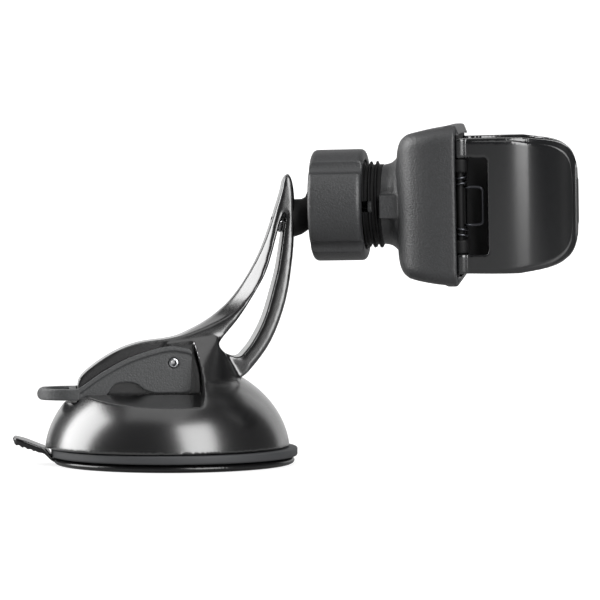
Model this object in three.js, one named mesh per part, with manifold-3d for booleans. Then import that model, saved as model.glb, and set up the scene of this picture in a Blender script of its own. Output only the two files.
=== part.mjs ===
// Car phone mount: a suction base with a cam lever, a two-legged arm, a ball joint with a
// clamp nut, and a holder whose two sprung jaws grip the phone. Millimetres, +Z up.
// Origin: centre of the suction cup's flat underside. +X points from the base to the holder.
import * as THREE from 'three';
import { mergeVertices } from 'three/addons/utils/BufferGeometryUtils.js';
import Module from 'manifold-3d';

const wasm = await Module();
wasm.setup();

// ---- driving dimensions ----
const GAP = 0.3; // air between pieces that touch or are cut by each other
const PIN_GAP = 0.12; // radial play of a pin in its hole
const THROUGH = 120; // length of a cutter that goes right through

const CUP_RADIUS = 36;
const CUP_EDGE = 2.2; // height of the cup's rim
const CUP_BOSS_RADIUS = 11.5;
const CUP_BOSS_TOP = 8.6;
const TAB_WIDTH = 12;

const PLATE_RADIUS = 36.9;
const PLATE_BOTTOM = CUP_EDGE + GAP;
const PLATE_TOP = 5.0;
const PLATE_HOLE = 13.2;

const DOME_X = -2.1; // the dome's axis lies a little behind the cup's
const DOME_RADIUS = 36.7;
const DOME_HEIGHT = 28.8;
const DOME_WAIST = 3; // height of the dome's widest section
const DOME_BOTTOM = PLATE_TOP + GAP;
const DOME_WALL = 2.6;
const DOME_ROOF = 16.2; // underside of the roof below the lever's pockets
const SPINE_HALF = 9.4; // half the width of the ridge between the lever's cheeks
const TIP_HALF = 5; // half the width of the arm's tip
const ARM_TOP = 87.2;

const PIN_X = -0.9; // lever pin, also the axis of the stem
const PIN_Z = 30.6;
const PIN_RADIUS = 1.4;
const PIN_HALF = 13.2;
const STEM_RADIUS = 3.2;
const STEM_TRAVEL = 3.3;
const FOOT_RADIUS = 8.6;
const FOOT_BOTTOM = 5.8;
const FOOT_TOP = 7.8;
const SPRING_BORE = 6.6;
const SPRING_SEAT = 24;
const CHEEK_OUT = 13;
const CHEEK_IN = 10;
const SCREW_CIRCLE = 27;
const SCREW_COUNT = 3;

const BALL = new THREE.Vector3(47.58, 0, 77.75);
const BALL_RADIUS = 8.5;
const STUD_SLOPE = THREE.MathUtils.degToRad(18);
const HEAD_YAW = THREE.MathUtils.degToRad(-14.36);
const HEAD_PITCH = THREE.MathUtils.degToRad(0.7);
const HEAD_ROLL = THREE.MathUtils.degToRad(5.5);

// The holder is drawn along its own axis x, with the ball's centre at 0.
const SEAT_IN = BALL_RADIUS + 0.12; // two thin seats, one turning inside the other
const SEAT_MIDDLE = 8.98;
const SEAT_OUT = 9.35;
const SOCKET_RADIUS = 9.5;
const COLLET_START = -3.6;
const COLLET_CORE = 12.3;
const CREST_RADIUS = 13.2;
const THREAD_START = 9.6;
const THREAD_PITCH = 1.9;
const THREAD_COUNT = 3;
const SLIT_WIDTH = 3.3;
const SLIT_END = 13.4;
const NUT_START = -5.4;
const NUT_END = 10.6;
const NUT_RADIUS = 16.8;
const NUT_BORE = 13.5;
const NUT_LIP = 9.7;

const SHELL_BACK = 20.6;
const SHELL_FRONT = 39;
const SHELL_HALF = 23.5; // half the width and height of the front face
const SHELL_WALL = 2.3;
const FACE_THICK = 2.4;
const PLATEAU = 41.4; // front of the plate's raised middle
const PAD_FRONT = 48.2;
const PIVOT = 40; // jaw axles: distance in front of the ball
const PIVOT_Y = 18.3; // and to each side
const AXLE_RADIUS = 1.1;
const BARREL = 2.6;
const JAW_HALF = 19.7; // half the height of a jaw
const LUG_IN = 9.9; // lugs that hold the axles, between these heights above and below the middle
const LUG_OUT = 13.7;
const WINDOW_HALF = 14.1;
const WINDOW_END = 49;
const JAW_TIP = 74.2;

// ---- materials ----
const finish = (color, roughness, metalness = 0) =>
  new THREE.MeshStandardMaterial({ color, roughness, metalness });
const satinBlack = () => finish(0x1c1c1d, 0.35);
const matteGrey = () => finish(0x2e3033, 0.6);
const ringGrey = () => finish(0x3a3b3d, 0.7);
const blueGrey = () => finish(0x2b2f35, 0.4);
const rubber = () => finish(0x141414, 0.5);
const steel = () => finish(0xb8bac0, 0.3, 1);

// ---- solids ----

// A closed geometry as a solid, with its faces turned outwards.
function solid(geometry) {
  const plain = geometry.clone();
  plain.deleteAttribute('normal');
  plain.deleteAttribute('uv');
  const merged = mergeVertices(plain, 1e-4);
  const index = merged.index.array;
  const kept = [];
  for (let i = 0; i < index.length; i += 3) {
    const [a, b, c] = index.slice(i, i + 3);
    if (a !== b && b !== c && c !== a) kept.push(a, b, c);
  }
  const triVerts = new Uint32Array(kept);
  const vertProperties = new Float32Array(merged.attributes.position.array);
  if (volume(vertProperties, triVerts) < 0) triVerts.reverse();
  return new wasm.Manifold(new wasm.Mesh({ numProp: 3, vertProperties, triVerts }));
}

function volume(points, triangles) {
  const at = (i) => new THREE.Vector3().fromArray(points, 3 * i);
  let sum = 0;
  for (let i = 0; i < triangles.length; i += 3) {
    const [a, b, c] = [at(triangles[i]), at(triangles[i + 1]), at(triangles[i + 2])];
    sum += a.dot(b.cross(c));
  }
  return sum;
}

function join(first, ...rest) {
  return rest.reduce((sum, next) => sum.add(next), first);
}

function cut(first, ...rest) {
  return rest.reduce((left, next) => left.subtract(next), first);
}

// ---- shapes ----
function box(x0, x1, y0, y1, z0, z1) {
  const geometry = new THREE.BoxGeometry(x1 - x0, y1 - y0, z1 - z0);
  return geometry.translate((x0 + x1) / 2, (y0 + y1) / 2, (z0 + z1) / 2);
}

// Cylinders along each axis, from low to high, about a line given by the two other coordinates.
function rodZ(radius, low, high, x = 0, y = 0, sides = 16) {
  const geometry = new THREE.CylinderGeometry(radius, radius, high - low, sides);
  return geometry.rotateX(Math.PI / 2).translate(x, y, (low + high) / 2);
}

function rodX(radius, low, high, y = 0, z = 0, sides = 16) {
  const geometry = new THREE.CylinderGeometry(radius, radius, high - low, sides);
  return geometry.rotateZ(-Math.PI / 2).translate((low + high) / 2, y, z);
}

function rodY(radius, half, x, z, sides = 16) {
  return new THREE.CylinderGeometry(radius, radius, 2 * half, sides).translate(x, 0, z);
}

// Turned pieces: the profile lists radius and height, or radius and distance along x.
function turnedZ(profile, sides, x = 0) {
  const points = profile.map(([r, z]) => new THREE.Vector2(r, z));
  return new THREE.LatheGeometry(points, sides).rotateX(Math.PI / 2).translate(x, 0, 0);
}

function turnedX(profile, sides) {
  const points = profile.map(([r, x]) => new THREE.Vector2(r, x));
  return new THREE.LatheGeometry(points, sides).rotateZ(-Math.PI / 2);
}

const arc = (cx, cy, radius, from, to, steps) =>
  Array.from({ length: steps + 1 }, (_, i) => {
    const angle = THREE.MathUtils.degToRad(from + ((to - from) * i) / steps);
    return [cx + radius * Math.cos(angle), cy + radius * Math.sin(angle)];
  });

function spline(points, steps) {
  const curve = new THREE.SplineCurve(points.map(([x, y]) => new THREE.Vector2(x, y)));
  return curve.getPoints(steps).map((p) => [p.x, p.y]);
}

const shape = (points) => new THREE.Shape(points.map(([x, y]) => new THREE.Vector2(x, y)));

// Outline in x and z, extruded along y.
function sideways(points, y0, y1) {
  const geometry = new THREE.ExtrudeGeometry(shape(points), { depth: y1 - y0, bevelEnabled: false });
  return geometry.rotateX(Math.PI / 2).translate(0, y1, 0);
}

// Outline in x and y, extruded along z.
function upright(points, z0, z1) {
  const geometry = new THREE.ExtrudeGeometry(shape(points), { depth: z1 - z0, bevelEnabled: false });
  return geometry.translate(0, 0, z0);
}

// Outline in y and z, extruded along x.
function lengthways(points, x0, x1) {
  const geometry = new THREE.ExtrudeGeometry(shape(points), { depth: x1 - x0, bevelEnabled: false });
  return geometry.rotateX(Math.PI / 2).rotateZ(Math.PI / 2).translate(x0, 0, 0);
}

function roundedBox(halfWidth, halfHeight, radius, steps = 4) {
  const [w, h] = [halfWidth - radius, halfHeight - radius];
  return [
    ...arc(w, h, radius, 0, 90, steps),
    ...arc(-w, h, radius, 90, 180, steps),
    ...arc(-w, -h, radius, 180, 270, steps),
    ...arc(w, -h, radius, 270, 360, steps),
  ];
}

function wire(points, radius, steps) {
  const path = new THREE.CatmullRomCurve3(points, false, 'centripetal');
  const section = shape(arc(0, 0, radius, 0, 300, 5));
  return new THREE.ExtrudeGeometry(section, { steps, extrudePath: path });
}

// ---- scene graph ----
const mount = new THREE.Group();
const holder = new THREE.Group();
holder.position.copy(BALL);
holder.rotation.set(HEAD_ROLL, -HEAD_PITCH, HEAD_YAW, 'ZYX');
mount.add(holder);

function piece(parent, name, body, material) {
  const { vertProperties, triVerts } = body.getMesh();
  const geometry = new THREE.BufferGeometry();
  geometry.setAttribute('position', new THREE.BufferAttribute(vertProperties, 3));
  geometry.setIndex(new THREE.BufferAttribute(triVerts, 1));
  const mesh = new THREE.Mesh(geometry, material);
  mesh.name = name;
  parent.add(mesh);
}

// ---- suction cup and base plate ----
function suctionCup() {
  const disc = turnedZ(
    [
      [0, 0],
      [CUP_RADIUS - 0.6, 0],
      [CUP_RADIUS, 0.8],
      [CUP_RADIUS, 1.6],
      [CUP_RADIUS - 0.7, CUP_EDGE],
      [CUP_BOSS_RADIUS + 1, CUP_EDGE],
      [CUP_BOSS_RADIUS, CUP_EDGE + 1],
      [CUP_BOSS_RADIUS, CUP_BOSS_TOP],
      [0, CUP_BOSS_TOP],
    ],
    48,
  );
  const socket = rodZ(FOOT_RADIUS + 0.5, 1.9, CUP_BOSS_TOP + 1, PIN_X, 0, 24);
  const tab = [
    [-33.5, 0.5],
    [-36.5, 1.4],
    [-38.9, 3.6],
    [-40.8, 4.0],
    [-41.4, 4.9],
    [-43.2, 5.2],
    [-44.2, 6.1],
    [-46.2, 6.3],
    [-48.2, 7.7],
    [-47.6, 8.5],
    [-44.4, 7.5],
    [-40.4, 5.9],
    [-38.2, 4.9],
    [-36.2, 2.1],
    [-33.5, 2.1],
  ];
  const strap = solid(sideways(tab, -TAB_WIDTH / 2, TAB_WIDTH / 2));
  return cut(join(solid(disc), strap), solid(socket));
}

function basePlate() {
  const inner = DOME_RADIUS - DOME_WALL - 3.4;
  const ring = turnedZ(
    [
      [PLATE_HOLE, PLATE_BOTTOM],
      [PLATE_RADIUS - 0.5, PLATE_BOTTOM],
      [PLATE_RADIUS, PLATE_BOTTOM + 0.5],
      [PLATE_RADIUS, PLATE_TOP - 0.4],
      [PLATE_RADIUS - 0.4, PLATE_TOP],
      [inner, PLATE_TOP],
      [inner, PLATE_TOP + 3],
      [inner - 1.6, PLATE_TOP + 3],
      [inner - 1.6, PLATE_TOP],
      [PLATE_HOLE, PLATE_TOP],
      [PLATE_HOLE, PLATE_BOTTOM],
    ],
    40,
  );
  const holes = screwPlaces().map(([x, y]) => solid(rodZ(1.8, 0, 20, x, y, 10)));
  const sinks = screwPlaces().map(([x, y]) => solid(rodZ(3.1, 0, 3.9, x, y, 12)));
  return cut(solid(ring), ...holes, ...sinks);
}

function screwPlaces() {
  return Array.from({ length: SCREW_COUNT }, (_, i) => {
    const angle = Math.PI / 3 + (2 * Math.PI * i) / SCREW_COUNT;
    return [SCREW_CIRCLE * Math.cos(angle), SCREW_CIRCLE * Math.sin(angle)];
  });
}

function baseScrew(x, y) {
  const head = rodZ(2.7, PLATE_BOTTOM + 0.1, 3.6, 0, 0, 12);
  const shank = rodZ(1.4, 3, 12.5, 0, 0, 8);
  const recess = box(-1.6, 1.6, -0.35, 0.35, 2, 3.1);
  const cross = recess.clone().rotateZ(Math.PI / 2);
  const screw = cut(join(solid(head), solid(shank)), solid(recess), solid(cross));
  return screw.translate([x, y, 0]);
}

// ---- dome, spine and arm ----
function domeProfile(radius, height, bottom, top, steps) {
  const low = Math.asin((bottom - DOME_WAIST) / height);
  const high = Math.asin((top - DOME_WAIST) / height);
  const rim = Array.from({ length: steps + 1 }, (_, i) => {
    const angle = low + ((high - low) * i) / steps;
    return [radius * Math.cos(angle), DOME_WAIST + height * Math.sin(angle)];
  });
  return [[0, bottom], ...rim, [0, top]];
}

// The ridge over the stem runs up into the arm's rear leg; the front leg comes back to the dome.
function armOutline() {
  const rear = spline(
    [
      [-28.9, 20.5],
      [-28.8, 25.2],
      [-24.7, 29.5],
      [-17.6, 34.0],
      [-10.4, 36.6],
      [-1.4, 37.9],
      [4.0, 40.0],
      [11.2, 44.4],
      [18.4, 51.5],
      [25.7, 64.0],
      [31.2, 80.0],
      [33.0, 86.2],
    ],
    26,
  );
  const front = spline(
    [
      [34.9, 85.6],
      [35.6, 80.5],
      [35.6, 73.2],
      [35.1, 62.3],
      [32.9, 49.0],
      [28.4, 37.0],
      [22.2, 28.5],
      [18.0, 25.2],
    ],
    14,
  );
  return [...rear, [33.9, ARM_TOP], ...front, [10, 14], [-24, 14]];
}

function armOpening() {
  const rear = [
    [31.4, 71.0],
    [27.9, 59.9],
    [25.2, 53.9],
    [19.1, 44.2],
    [13.2, 37.0],
    [13.1, 35.0],
    [14.7, 33.4],
    [17.6, 32.2],
  ];
  const front = [
    [19.4, 32.4],
    [23.0, 37.0],
    [26.6, 44.2],
    [29.4, 53.9],
    [30.5, 59.9],
    [32.2, 71.0],
  ];
  return [...spline(rear, 14), ...spline(front, 10)];
}

function domeArm() {
  const dome = solid(
    turnedZ(domeProfile(DOME_RADIUS, DOME_HEIGHT, DOME_BOTTOM, 31.6, 8), 44, DOME_X),
  );
  const ridge = solid(sideways(armOutline(), -SPINE_HALF, SPINE_HALF));
  const taper = [
    [-SPINE_HALF - 1, 0],
    [SPINE_HALF + 1, 0],
    [SPINE_HALF + 0.1, 30],
    [TIP_HALF, ARM_TOP + 1],
    [-TIP_HALF, ARM_TOP + 1],
    [-SPINE_HALF - 0.1, 30],
  ];
  const arm = ridge.intersect(solid(lengthways(taper, -60, 60)));
  const opening = solid(sideways(armOpening(), -30, 30));
  const outer = join(dome, cut(arm, opening));
  const hollow = solid(
    turnedZ(
      domeProfile(DOME_RADIUS - DOME_WALL, DOME_HEIGHT - DOME_WALL, 4, DOME_ROOF, 3),
      30,
      DOME_X,
    ),
  );
  const bosses = screwPlaces().map(([x, y]) => solid(rodZ(3.4, 9, DOME_ROOF + 1, x, y, 12)));
  const shell = join(cut(outer, hollow), ...bosses);
  const pilots = screwPlaces().map(([x, y]) => solid(rodZ(1.6, 4, 14, x, y, 8)));
  const springBore = solid(rodZ(SPRING_BORE, 4, SPRING_SEAT, PIN_X, 0, 16));
  const stemBore = solid(rodZ(STEM_RADIUS + 0.3, 4, 34.6, PIN_X, 0, 16));
  return cut(shell, ...pilots, springBore, stemBore, ...leverPockets(), pinSlot(), studHole());
}

// Each cheek of the lever lies in a pocket whose floor slopes out to the dome's skin.
function leverPockets() {
  const groove = 19.2;
  const side = [
    [-45, 15.6],
    [-CHEEK_OUT - 1.1, 21.4],
    [-CHEEK_OUT - 0.6, groove],
    [-CHEEK_IN + 0.3, groove],
    [-CHEEK_IN + 0.3, 60],
    [-45, 60],
  ];
  const end = 6.8;
  const near = solid(lengthways(side, -60, end));
  const far = solid(lengthways(side.map(([y, z]) => [-y, z]), -60, end));
  const thumb = solid(box(-60, -29.1, -CHEEK_OUT - 1.1, CHEEK_OUT + 1.1, groove - 0.4, 60));
  return [near, far, thumb];
}

function pinSlot() {
  const half = PIN_RADIUS + 0.25;
  const low = PIN_Z - STEM_TRAVEL - half;
  return solid(box(PIN_X - half, PIN_X + half, -20, 20, low, PIN_Z + half));
}

// ---- ball stud, in its own frame: the axis is x, the ball's centre is 0 ----
function studSolid(geometry) {
  return solid(geometry.rotateY(-STUD_SLOPE).translate(BALL.x, BALL.y, BALL.z));
}

const STUD_FACE = -12.4; // where the shank's cone meets the arm
const STUD_NUT = [-17.9, -16.2];

function studHole() {
  const shank = studSolid(rodX(2.3 + PIN_GAP, -30, -10, 0, 0, 16));
  const seat = studSolid(rodX(6.2, STUD_FACE - GAP, -9, 0, 0, 24));
  const spot = studSolid(rodX(3.6, -24, STUD_NUT[1] + GAP, 0, 0, 20));
  return join(shank, seat, spot);
}

function ballStud() {
  const neck = 4.5;
  const start = Math.round(THREE.MathUtils.radToDeg(Math.PI - Math.asin(neck / BALL_RADIUS)));
  const ball = arc(0, 0, BALL_RADIUS, start, 0, 10).map(([x, r]) => [Math.abs(r), x]);
  ball[ball.length - 1][0] = 0;
  return studSolid(
    turnedX(
      [
        [0, -19],
        [2.3, -19],
        [2.3, STUD_FACE],
        [5.6, STUD_FACE],
        [5.6, STUD_FACE + 1.2],
        [neck, -7.8],
        ...ball,
      ],
      24,
    ),
  );
}

function studNut() {
  const [low, high] = STUD_NUT;
  const bore = studSolid(rodX(2.3 + PIN_GAP, low - 1, high + 1, 0, 0, 16));
  return cut(studSolid(rodX(3.3, low, high, 0, 0, 20)), bore);
}

// ---- stem, spring and lever ----
function stem() {
  const body = turnedZ(
    [
      [0, FOOT_BOTTOM],
      [FOOT_RADIUS, FOOT_BOTTOM],
      [FOOT_RADIUS, FOOT_TOP],
      [STEM_RADIUS, FOOT_TOP],
      [STEM_RADIUS, 33.2],
      [STEM_RADIUS - 0.8, 34],
      [0, 34],
    ],
    20,
    PIN_X,
  );
  return cut(solid(body), solid(rodY(PIN_RADIUS + PIN_GAP, 10, PIN_X, PIN_Z)));
}

function helix(turns, radius, low, high, perTurn) {
  const count = Math.round(turns * perTurn);
  return Array.from({ length: count + 1 }, (_, i) => {
    const angle = (2 * Math.PI * i) / perTurn;
    const height = low + ((high - low) * i) / count;
    return new THREE.Vector3(radius * Math.cos(angle), radius * Math.sin(angle), height);
  });
}

function stemSpring() {
  const thickness = 0.55;
  const low = FOOT_TOP + GAP + thickness;
  const high = SPRING_SEAT - GAP - thickness;
  const coil = helix(5, 5, low, high, 10).map((p) => p.add(new THREE.Vector3(PIN_X, 0, 0)));
  return solid(wire(coil, thickness, 50));
}

function cheekOutline() {
  const top = spline(
    [
      [-29.8, 22.9],
      [-28.4, 23.3],
      [-25.4, 25.4],
      [-21.3, 28.2],
      [-13.7, 32.2],
      [-4.9, 35.0],
      [-0.5, 35.4],
      [2.6, 35.0],
    ],
    16,
  );
  const heel = arc(2.6, 23.6, 1.9, 0, -90, 4);
  const notch = spline(
    [
      [-7.2, 21.7],
      [-9.4, 22.6],
      [-11.6, 24.3],
      [-14.9, 24.9],
      [-18.2, 24.2],
      [-20.4, 21.4],
      [-21.6, 20.2],
      [-24.0, 19.6],
    ],
    12,
  );
  return [...top, [4.5, 33.2], ...heel, ...notch, [-39.4, 19.6], ...arc(-39.4, 21.25, 1.65, 270, 90, 6)];
}

function camLever() {
  const block = solid(sideways(cheekOutline(), -CHEEK_OUT, CHEEK_OUT));
  const between = solid(box(-29.4, 30, -CHEEK_IN, CHEEK_IN, 0, 60));
  const loop = arc(-30.6, 0, 7.9, 97, 263, 12).map(([x, y]) => [x, 1.2 * y]);
  const corner = roundedBox(60, CHEEK_OUT, 11, 7).map(([x, y]) => [x + 60 - 41.05, y]);
  const pinHole = solid(rodY(PIN_RADIUS + PIN_GAP, 20, PIN_X, PIN_Z));
  const rounded = block.intersect(solid(upright(corner, 0, 60)));
  return cut(rounded, between, solid(upright(loop, 0, 60)), pinHole);
}

function leverPin() {
  const outer = solid(rodY(PIN_RADIUS, PIN_HALF, PIN_X, PIN_Z));
  return cut(outer, solid(rodY(PIN_RADIUS - 0.6, 20, PIN_X, PIN_Z)));
}

// ---- ball seats: zones of a spherical shell, given by angles from the axis ----
function ballSeat(from, to, innerRadius, outerRadius) {
  const inside = arc(0, 0, innerRadius, from, to, 3);
  const outside = arc(0, 0, outerRadius, to, from, 3);
  const zone = [...inside, ...outside, inside[0]];
  return solid(turnedX(zone.map(([x, r]) => [r, x]), 24));
}

// ---- housing with its collet ----
function sidePlan(inset) {
  const half = SHELL_HALF - inset;
  const back = SHELL_BACK + inset;
  const curve = spline(
    [
      [back, 12],
      [back + 0.8, 16.5 - inset],
      [back + 3.4, 20.8 - inset],
      [back + 8, 22.1 - inset],
      [SHELL_FRONT - 5, half - 0.5],
    ],
    7,
  );
  const edge = [...curve, [SHELL_FRONT + 0.01, half]];
  return [...edge, ...edge.map(([x, y]) => [x, -y]).reverse()];
}

function pillow(inset) {
  const frontOutline = roundedBox(SHELL_HALF - inset, SHELL_HALF - inset, 4, 2);
  const tall = solid(sideways(sidePlan(inset), -THROUGH / 2, THROUGH / 2));
  const wide = solid(upright(sidePlan(inset), -THROUGH / 2, THROUGH / 2));
  return tall.intersect(wide).intersect(solid(lengthways(frontOutline, 0, SHELL_FRONT)));
}

function colletProfile() {
  const crests = [];
  for (let i = 0; i < THREAD_COUNT; i++) {
    const x = THREAD_START + i * THREAD_PITCH;
    crests.push([COLLET_CORE, x], [CREST_RADIUS, x + 0.7], [CREST_RADIUS, x + 1.1]);
  }
  const last = THREAD_START + THREAD_COUNT * THREAD_PITCH;
  const start = THREE.MathUtils.radToDeg(Math.acos(COLLET_START / SOCKET_RADIUS));
  const socket = arc(0, 0, SOCKET_RADIUS, start, 60, 4).map(([x, r]) => [r, x]);
  return [
    ...socket,
    [8.2, 8],
    [8.2, 24],
    [13, 24],
    [13, last + 1.2],
    [COLLET_CORE, last + 0.6],
    [COLLET_CORE, last],
    ...crests.reverse(),
    [COLLET_CORE, -0.4],
    [10.9, COLLET_START],
    socket[0],
  ];
}

function rearHousing() {
  const lug = box(15.8, 23, -14.7, 14.7, -3.4, 3.4);
  const innerBoss = box(15, 23, -9, 9, -9, 9);
  const face = SHELL_FRONT - FACE_THICK - GAP;
  const recess = solid(lengthways(roundedBox(21.3, 21.3, 3, 2), face, SHELL_FRONT + 5));
  const shell = cut(pillow(0), pillow(SHELL_WALL), recess);
  const bosses = platePlaces().map(([y, z]) =>
    solid(rodX(2.6, SHELL_BACK + 1, face - GAP, y, z, 10)),
  );
  const pilots = platePlaces().map(([y, z]) => solid(rodX(1.25, 27, 60, y, z, 8)));
  const collet = join(solid(turnedX(colletProfile(), 28)), cut(solid(lug), solid(innerBoss)));
  const bore = solid(rodX(8.2, 8, SHELL_BACK + 6, 0, 0, 28));
  const tall = solid(box(COLLET_START - 1, SLIT_END, -SLIT_WIDTH / 2, SLIT_WIDTH / 2, -20, 20));
  const wide = solid(box(COLLET_START - 1, SLIT_END, -20, 20, -SLIT_WIDTH / 2, SLIT_WIDTH / 2));
  return cut(join(shell, collet, ...bosses), bore, tall, wide, ...pilots);
}

function platePlaces() {
  return [-1, 1].flatMap((side) => [-1, 1].map((level) => [side * 9, level * 14.5]));
}

// ---- front plate, pad, screws, axles ----
function frontPlate() {
  const back = SHELL_FRONT - FACE_THICK;
  const plate = solid(lengthways(roundedBox(21, 21, 2.7, 2), back, SHELL_FRONT));
  const plateau = solid(lengthways(roundedBox(12.6, 18.6, 2, 2), back, PLATEAU));
  const slots = [-1, 1].map((side) => {
    const [low, high] = side > 0 ? [15, 25] : [-25, -15];
    return solid(box(30, 50, low, high, -JAW_HALF - 0.5, JAW_HALF + 0.5));
  });
  const lugs = [-1, 1].flatMap((side) =>
    [-LUG_OUT, LUG_IN].map((low) => {
      const high = low + LUG_OUT - LUG_IN;
      const [y0, y1] = side > 0 ? [12.6, PIVOT_Y] : [-PIVOT_Y, -12.6];
      const arm = solid(box(SHELL_FRONT - 1.3, PIVOT + 2.2, y0, y1, low, high));
      return join(arm, solid(rodZ(2.3, low, high, PIVOT, side * PIVOT_Y, 14)));
    }),
  );
  const axleHoles = [-1, 1].map((side) =>
    solid(rodZ(AXLE_RADIUS + PIN_GAP, -30, 30, PIVOT, side * PIVOT_Y, 12)),
  );
  const screwHoles = platePlaces().map(([y, z]) =>
    join(
      solid(rodX(1.5, 30, 60, y, z, 8)),
      solid(rodX(2.6, PLATEAU - 1.7, 60, y, z, 12)),
    ),
  );
  return cut(join(cut(join(plate, plateau), ...slots), ...lugs), ...axleHoles, ...screwHoles);
}

function plateScrew(y, z) {
  const head = rodX(2.3, PLATEAU - 1.6, PLATEAU - 0.1, y, z, 12);
  const shank = rodX(1.1, 29, PLATEAU - 1, y, z, 8);
  return join(solid(head), solid(shank));
}

function phonePad() {
  return solid(lengthways(roundedBox(12.4, 18.4, 2, 2), PLATEAU + 0.15, PAD_FRONT));
}

function axle(side) {
  return solid(rodZ(AXLE_RADIUS, -19, 19, PIVOT, side * PIVOT_Y, 12));
}

// ---- jaws, drawn on the +y side ----
const JAW_OUTSIDE = [
  [42.0, 19.9],
  [45.0, 21.0],
  [50.0, 22.0],
  [55.0, 22.0],
  [60.0, 20.4],
  [64.5, 16.8],
  [68.3, 11.2],
  [71.2, 5.2],
  [73.4, 1.4],
];
const JAW_INSIDE = [
  [70.4, 0.3],
  [68.9, 3.9],
  [66.1, 9.9],
  [62.8, 15.0],
  [59.0, 18.1],
  [54.6, 19.5],
  [50.0, 19.5],
  [45.5, 18.5],
  [42.0, 17.4],
];

function jaw(side) {
  const section = [...spline(JAW_OUTSIDE, 20), [JAW_TIP, 0.9], [JAW_TIP, 0.3], ...spline(JAW_INSIDE, 16)];
  const wall = solid(upright(section, -JAW_HALF, JAW_HALF));
  const edge = [
    [30, JAW_HALF],
    ...spline(
      [
        [57, JAW_HALF],
        [66.5, 18.4],
        [70.6, 16.6],
        [72.7, 14],
        [73.9, 9.5],
        [JAW_TIP + 0.1, 0],
      ],
      12,
    ),
  ];
  const face = [...edge, ...edge.map(([x, z]) => [x, -z]).reverse().slice(1)];
  const plate = wall.intersect(solid(sideways(face, -THROUGH / 2, THROUGH / 2)));
  const barrel = solid(rodZ(BARREL, -JAW_HALF, JAW_HALF, PIVOT, PIVOT_Y, 20));
  const ear = solid(box(PIVOT, 44, 17.2, 19.9, -JAW_HALF, JAW_HALF));
  const window = solid(box(30, WINDOW_END, 10, 30, -WINDOW_HALF, WINDOW_HALF));
  const bore = solid(rodZ(AXLE_RADIUS + PIN_GAP, -19.2, 19.2, PIVOT, PIVOT_Y, 12));
  const body = cut(join(plate, barrel, ear), window, bore);
  return side > 0 ? body : body.mirror([0, 1, 0]);
}

function gripPad(side) {
  const inside = spline(JAW_INSIDE, 16).filter(([x]) => x > 50.5 && x < 69);
  const face = inside.map(([x, y]) => [x - 0.12, y - 0.12]);
  const back = inside.map(([x, y]) => [x - 0.85, y - 1.1]).reverse();
  const body = solid(upright([...face, ...back], -15.5, 15.5));
  return side > 0 ? body : body.mirror([0, 1, 0]);
}

// Double torsion spring: two coils on the axle, joined by a bar that pushes on the jaw.
function jawSpring(side) {
  const radius = 1.95;
  const coil = helix(2.25, radius, 5.4, 9, 10).map((p) => {
    return new THREE.Vector3(PIVOT + p.x, PIVOT_Y - p.y, p.z);
  });
  const bar = [new THREE.Vector3(45.6, 18.1, 5.6), new THREE.Vector3(46.6, 18.1, 4.6)];
  const tail = new THREE.Vector3(PIVOT - 1.2, PIVOT_Y - 2.6, 9.3);
  const upper = [tail, ...coil.reverse(), ...bar];
  const lower = upper.map((p) => new THREE.Vector3(p.x, p.y, -p.z)).reverse();
  const body = solid(wire([...upper, ...lower], 0.45, 62));
  return side > 0 ? body : body.mirror([0, 1, 0]);
}

// ---- clamp nut and its pressure ring ----
function pressureRing() {
  return solid(
    turnedX(
      [
        [11.3, COLLET_START],
        [NUT_BORE - 0.3, COLLET_START],
        [NUT_BORE - 0.3, -0.8],
        [12.6, -0.8],
        [11.3, COLLET_START],
      ],
      28,
    ),
  );
}

function nutOutline(radius) {
  const flute = 1.5;
  const count = 64;
  return Array.from({ length: count }, (_, i) => {
    const angle = (2 * Math.PI * i) / count;
    const off = Math.abs(((angle + Math.PI / 2) % (Math.PI / 2)) - Math.PI / 4);
    const dip = Math.exp(-((off / 0.15) ** 2));
    const r = radius - flute * dip;
    return [r * Math.cos(angle), r * Math.sin(angle)];
  });
}

function clampNut() {
  const lobes = solid(lengthways(nutOutline(NUT_RADIUS), NUT_START, NUT_END));
  const turned = solid(
    turnedX(
      [
        [0, NUT_START],
        [NUT_RADIUS - 1.4, NUT_START],
        [NUT_RADIUS + 0.1, NUT_START + 1.6],
        [NUT_RADIUS + 0.1, NUT_END - 1.6],
        [NUT_RADIUS - 1.4, NUT_END],
        [0, NUT_END],
      ],
      64,
    ),
  );
  const bore = solid(rodX(NUT_BORE, COLLET_START - GAP, NUT_END + 1, 0, 0, 32));
  const mouth = solid(rodX(NUT_LIP, NUT_START - 1, 0, 0, 0, 32));
  return cut(lobes.intersect(turned), bore, mouth);
}

// ---- assembly ----
piece(mount, 'suction_cup', suctionCup(), rubber());
piece(mount, 'base_plate', basePlate(), ringGrey());
screwPlaces().forEach(([x, y], i) => piece(mount, `base_screw_${i + 1}`, baseScrew(x, y), steel()));
piece(mount, 'dome_arm', domeArm(), satinBlack());
piece(mount, 'ball_stud', ballStud(), satinBlack());
piece(mount, 'stud_nut', studNut(), steel());
piece(mount, 'stem', stem(), matteGrey());
piece(mount, 'stem_spring', stemSpring(), steel());
piece(mount, 'cam_lever', camLever(), matteGrey());
piece(mount, 'lever_pin', leverPin(), steel());

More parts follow.
